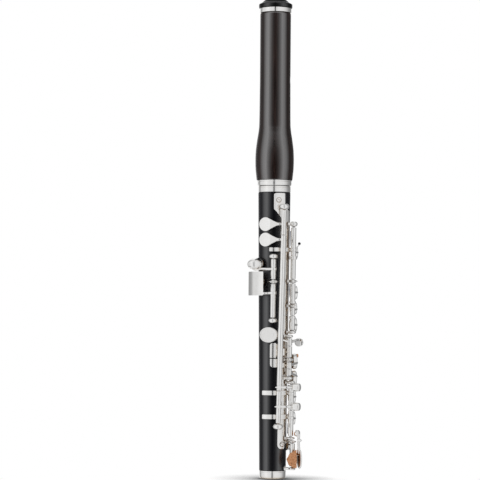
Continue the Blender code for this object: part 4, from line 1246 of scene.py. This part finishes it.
def small_corks_and_bumper():
    """Two slips of cork that quiet the keys, and the black bumper above the C cup."""
    disc = PADS["f_sharp"]
    side, third, _ = axes_for(disc.out, UP)
    foot = disc.top + side * (disc.cup_radius * 0.72) - third * 0.4
    slip = turned([(0, 1.25), (0.8, 1.2), (1.15, 0.85), (1.15, -0.4), (0, -0.4)], foot, disc.out, 20)
    finish(slip, "f_sharp_pad", KEY_CORK, name="f_sharp_regulation_cork", body="f_sharp_key")
    base = around(PADDLE_ANGLE, PADDLE_RADIUS - 2.5, 29.6)
    slip = turned([(0, -0.9), (1.25, -0.85), (1.5, -0.5), (1.5, 0.2), (0, 0.2)], base,
        direction(PADDLE_ANGLE), 20)
    finish(slip, "e_flat_cork", KEY_CORK, name="e_flat_touch_cork", body="e_flat_key")
    ball = around(-3, 18.2, 154.6)
    disc = PADS["c"]
    foot = disc.top + UP * (disc.cup_radius - 0.6) - disc.out * 0.5
    arm = sweep([foot, foot.lerp(ball, 0.5) + disc.out * 0.3, ball], [0.5, 0.4, 0.4], 12, 4)
    finish(arm, "c_key", SILVER, name="c_bumper_arm", body="c_key")
    arcs = [radians(90 - 15 * i) for i in range(13)]
    shape = [(max(0, 0.95 * cos(a)) if 0 < i < 12 else 0, 0.95 * sin(a)) for i, a in enumerate(arcs)]
    finish(turned(shape, ball, UP, 24), "c_key", RUBBER, name="c_bumper", body="c_key")


# ---------------------------------------------------------------- stage: floor, light and camera

def for_camera(tree, kind, unseen, seen):
    """Shows one surface to the camera and another to everything that the light meets first."""
    path = add_node(tree, "LightPath", {})
    switch = add_node(tree, "MixShader", {0: path.outputs["Is Camera Ray"], 1: unseen, 2: seen})
    add_node(tree, kind, {"Surface": switch.outputs[0]})


def floor():
    """A plain pale floor: the camera sees it as even white, with a soft shadow painted in where the foot end
    stands on it.
    """
    build = bmesh.new()
    bmesh.ops.create_circle(build, cap_ends=True, segments=64, radius=6)
    mesh = bpy.data.meshes.new("floor")
    build.to_mesh(mesh)
    build.free()
    ground = bpy.data.objects.new("floor", mesh)
    ground.location.z = CAD_BOX[0].z - 0.0003
    bpy.context.scene.collection.objects.link(ground)
    material = bpy.data.materials.new("pale_floor")
    material.use_nodes = True
    tree = material.node_tree
    tree.nodes.clear()
    matt = add_node(tree, "BsdfDiffuse", {"Color": (0.8, 0.8, 0.8, 1)})
    # painted shadow: the white that the camera sees dims with ambient occlusion near the foot end
    painted_shade = add_node(tree, "AmbientOcclusion", {"Distance": 0.035})
    painted_shadow_level = add_node(tree, "Math", {0: painted_shade.outputs["AO"], 1: 3}, operation="POWER")
    glow = add_node(tree, "Emission", {"Strength": painted_shadow_level.outputs[0]})
    for_camera(tree, "OutputMaterial", matt.outputs[0], glow.outputs[0])
    mesh.materials.append(material)
    ground.visible_glossy = False


# Studio light round the camera: degrees from straight behind it (left is minus), and brightness there.
LIGHT_ROUND = ((-180, 1), (-149, 0.85), (-133, 0.3), (-120, 0.4), (-108, 0.74), (-94, 0.74), (-80, 0.82),
    (-58, 0.94), (-36, 0.8), (-18, 0.78), (-8.5, 0.6), (-6.5, 0.01), (-1.5, 0.01), (1, 0.6), (14, 0.8),
    (36, 0.82), (63, 0.76), (80, 0.64), (94, 0.5), (104, 0.34), (120, 0.26), (152, 0.24), (163, 0.85),
    (180, 1))


LIGHT_ABOVE = 0.75


def studio():
    """Two tall soft lights, left and right of the camera, with a dark gap between; the backdrop is white."""
    bpy.context.scene.view_settings.view_transform = "Standard"
    world = bpy.data.worlds.new("studio")
    bpy.context.scene.world = world
    world.use_nodes = True
    tree = world.node_tree
    tree.nodes.clear()

    def maths(operation, *values):
        return add_node(tree, "Math", dict(enumerate(values)), operation=operation).outputs[0]

    coordinates = add_node(tree, "TexCoord", {})
    x, y, z = add_node(tree, "SeparateXYZ", {0: coordinates.outputs["Camera"]}).outputs
    turn = maths("ARCTAN2", x, maths("MULTIPLY", z, -1))
    share = maths("ADD", maths("DIVIDE", turn, 2 * pi), 0.5)
    ramp = add_ramp(tree, share, [(where / 360 + 0.5, level) for where, level in LIGHT_ROUND])
    across = maths("SQRT", maths("ADD", maths("MULTIPLY", x, x), maths("MULTIPLY", z, z)))
    slope = maths("ABSOLUTE", maths("ARCTAN2", y, across))
    steep = add_node(tree, "MapRange", {"Value": slope, "From Min": 0.9, "From Max": 1.45, "To Min": 0,
        "To Max": 1}, interpolation_type="SMOOTHSTEP")
    grey = maths("MULTIPLY", ramp, 1)
    level = add_node(tree, "Mix", {0: steep.outputs[0], 2: grey, 3: LIGHT_ABOVE}, data_type="FLOAT")
    light = add_node(tree, "Background", {"Color": (0.985, 0.99, 1, 1), "Strength": level.outputs[0]})
    white = add_node(tree, "Background", {"Color": (1, 1, 1, 1)})
    for_camera(tree, "OutputWorld", light.outputs[0], white.outputs[0])


CAMERA_AZIMUTH = -25
CAMERA_DISTANCE = 1.36
CAMERA_HEIGHT = 0.109
AIM_HEIGHT = 0.1565
CAMERA_ASIDE = -0.0225
CAMERA_ROLL = 0.44
LENS = 154.6


def camera():
    """The photograph's view: slightly from the left of the player's side, level with the right-hand keys."""
    turn = radians(CAMERA_AZIMUTH)
    ahead = Vector((-sin(turn), cos(turn), 0))
    right = Vector((ahead.y, -ahead.x, 0))
    foot = CAD_BOX[0].z
    eye = -ahead * CAMERA_DISTANCE + right * CAMERA_ASIDE + UP * (CAMERA_HEIGHT + foot)
    aim = right * CAMERA_ASIDE + UP * (AIM_HEIGHT + foot)
    look = (aim - eye).normalized()
    side = look.cross(UP).normalized()
    up = side.cross(look)
    roll = radians(CAMERA_ROLL)
    x_axis = side * cos(roll) + up * sin(roll)
    y_axis = up * cos(roll) - side * sin(roll)
    matrix = Matrix((x_axis, y_axis, -look)).transposed().to_4x4()
    matrix.translation = eye
    data = bpy.data.cameras.new("camera")
    data.lens = LENS
    view = bpy.data.objects.new("camera", data)
    bpy.context.scene.collection.objects.link(view)
    view.matrix_world = matrix
    bpy.context.scene.camera = view


def build():
    body_wood()
    rings()
    head_socket()
    head_wood()
    crown()
    stopper()
    tenon_cork()
    strap_and_posts()
    peg_posts()
    strap_screws()
    steels()
    needle_springs()
    upper_keys()
    trill_keys()
    thumb_keys()
    g_sharp_key()
    side_b_flat_lever()
    right_hand_keys()
    e_flat_key()
    e_flat_cork()
    small_corks_and_bumper()


build()
bpy.data.collections.remove(WORK)
floor()
studio()
camera()
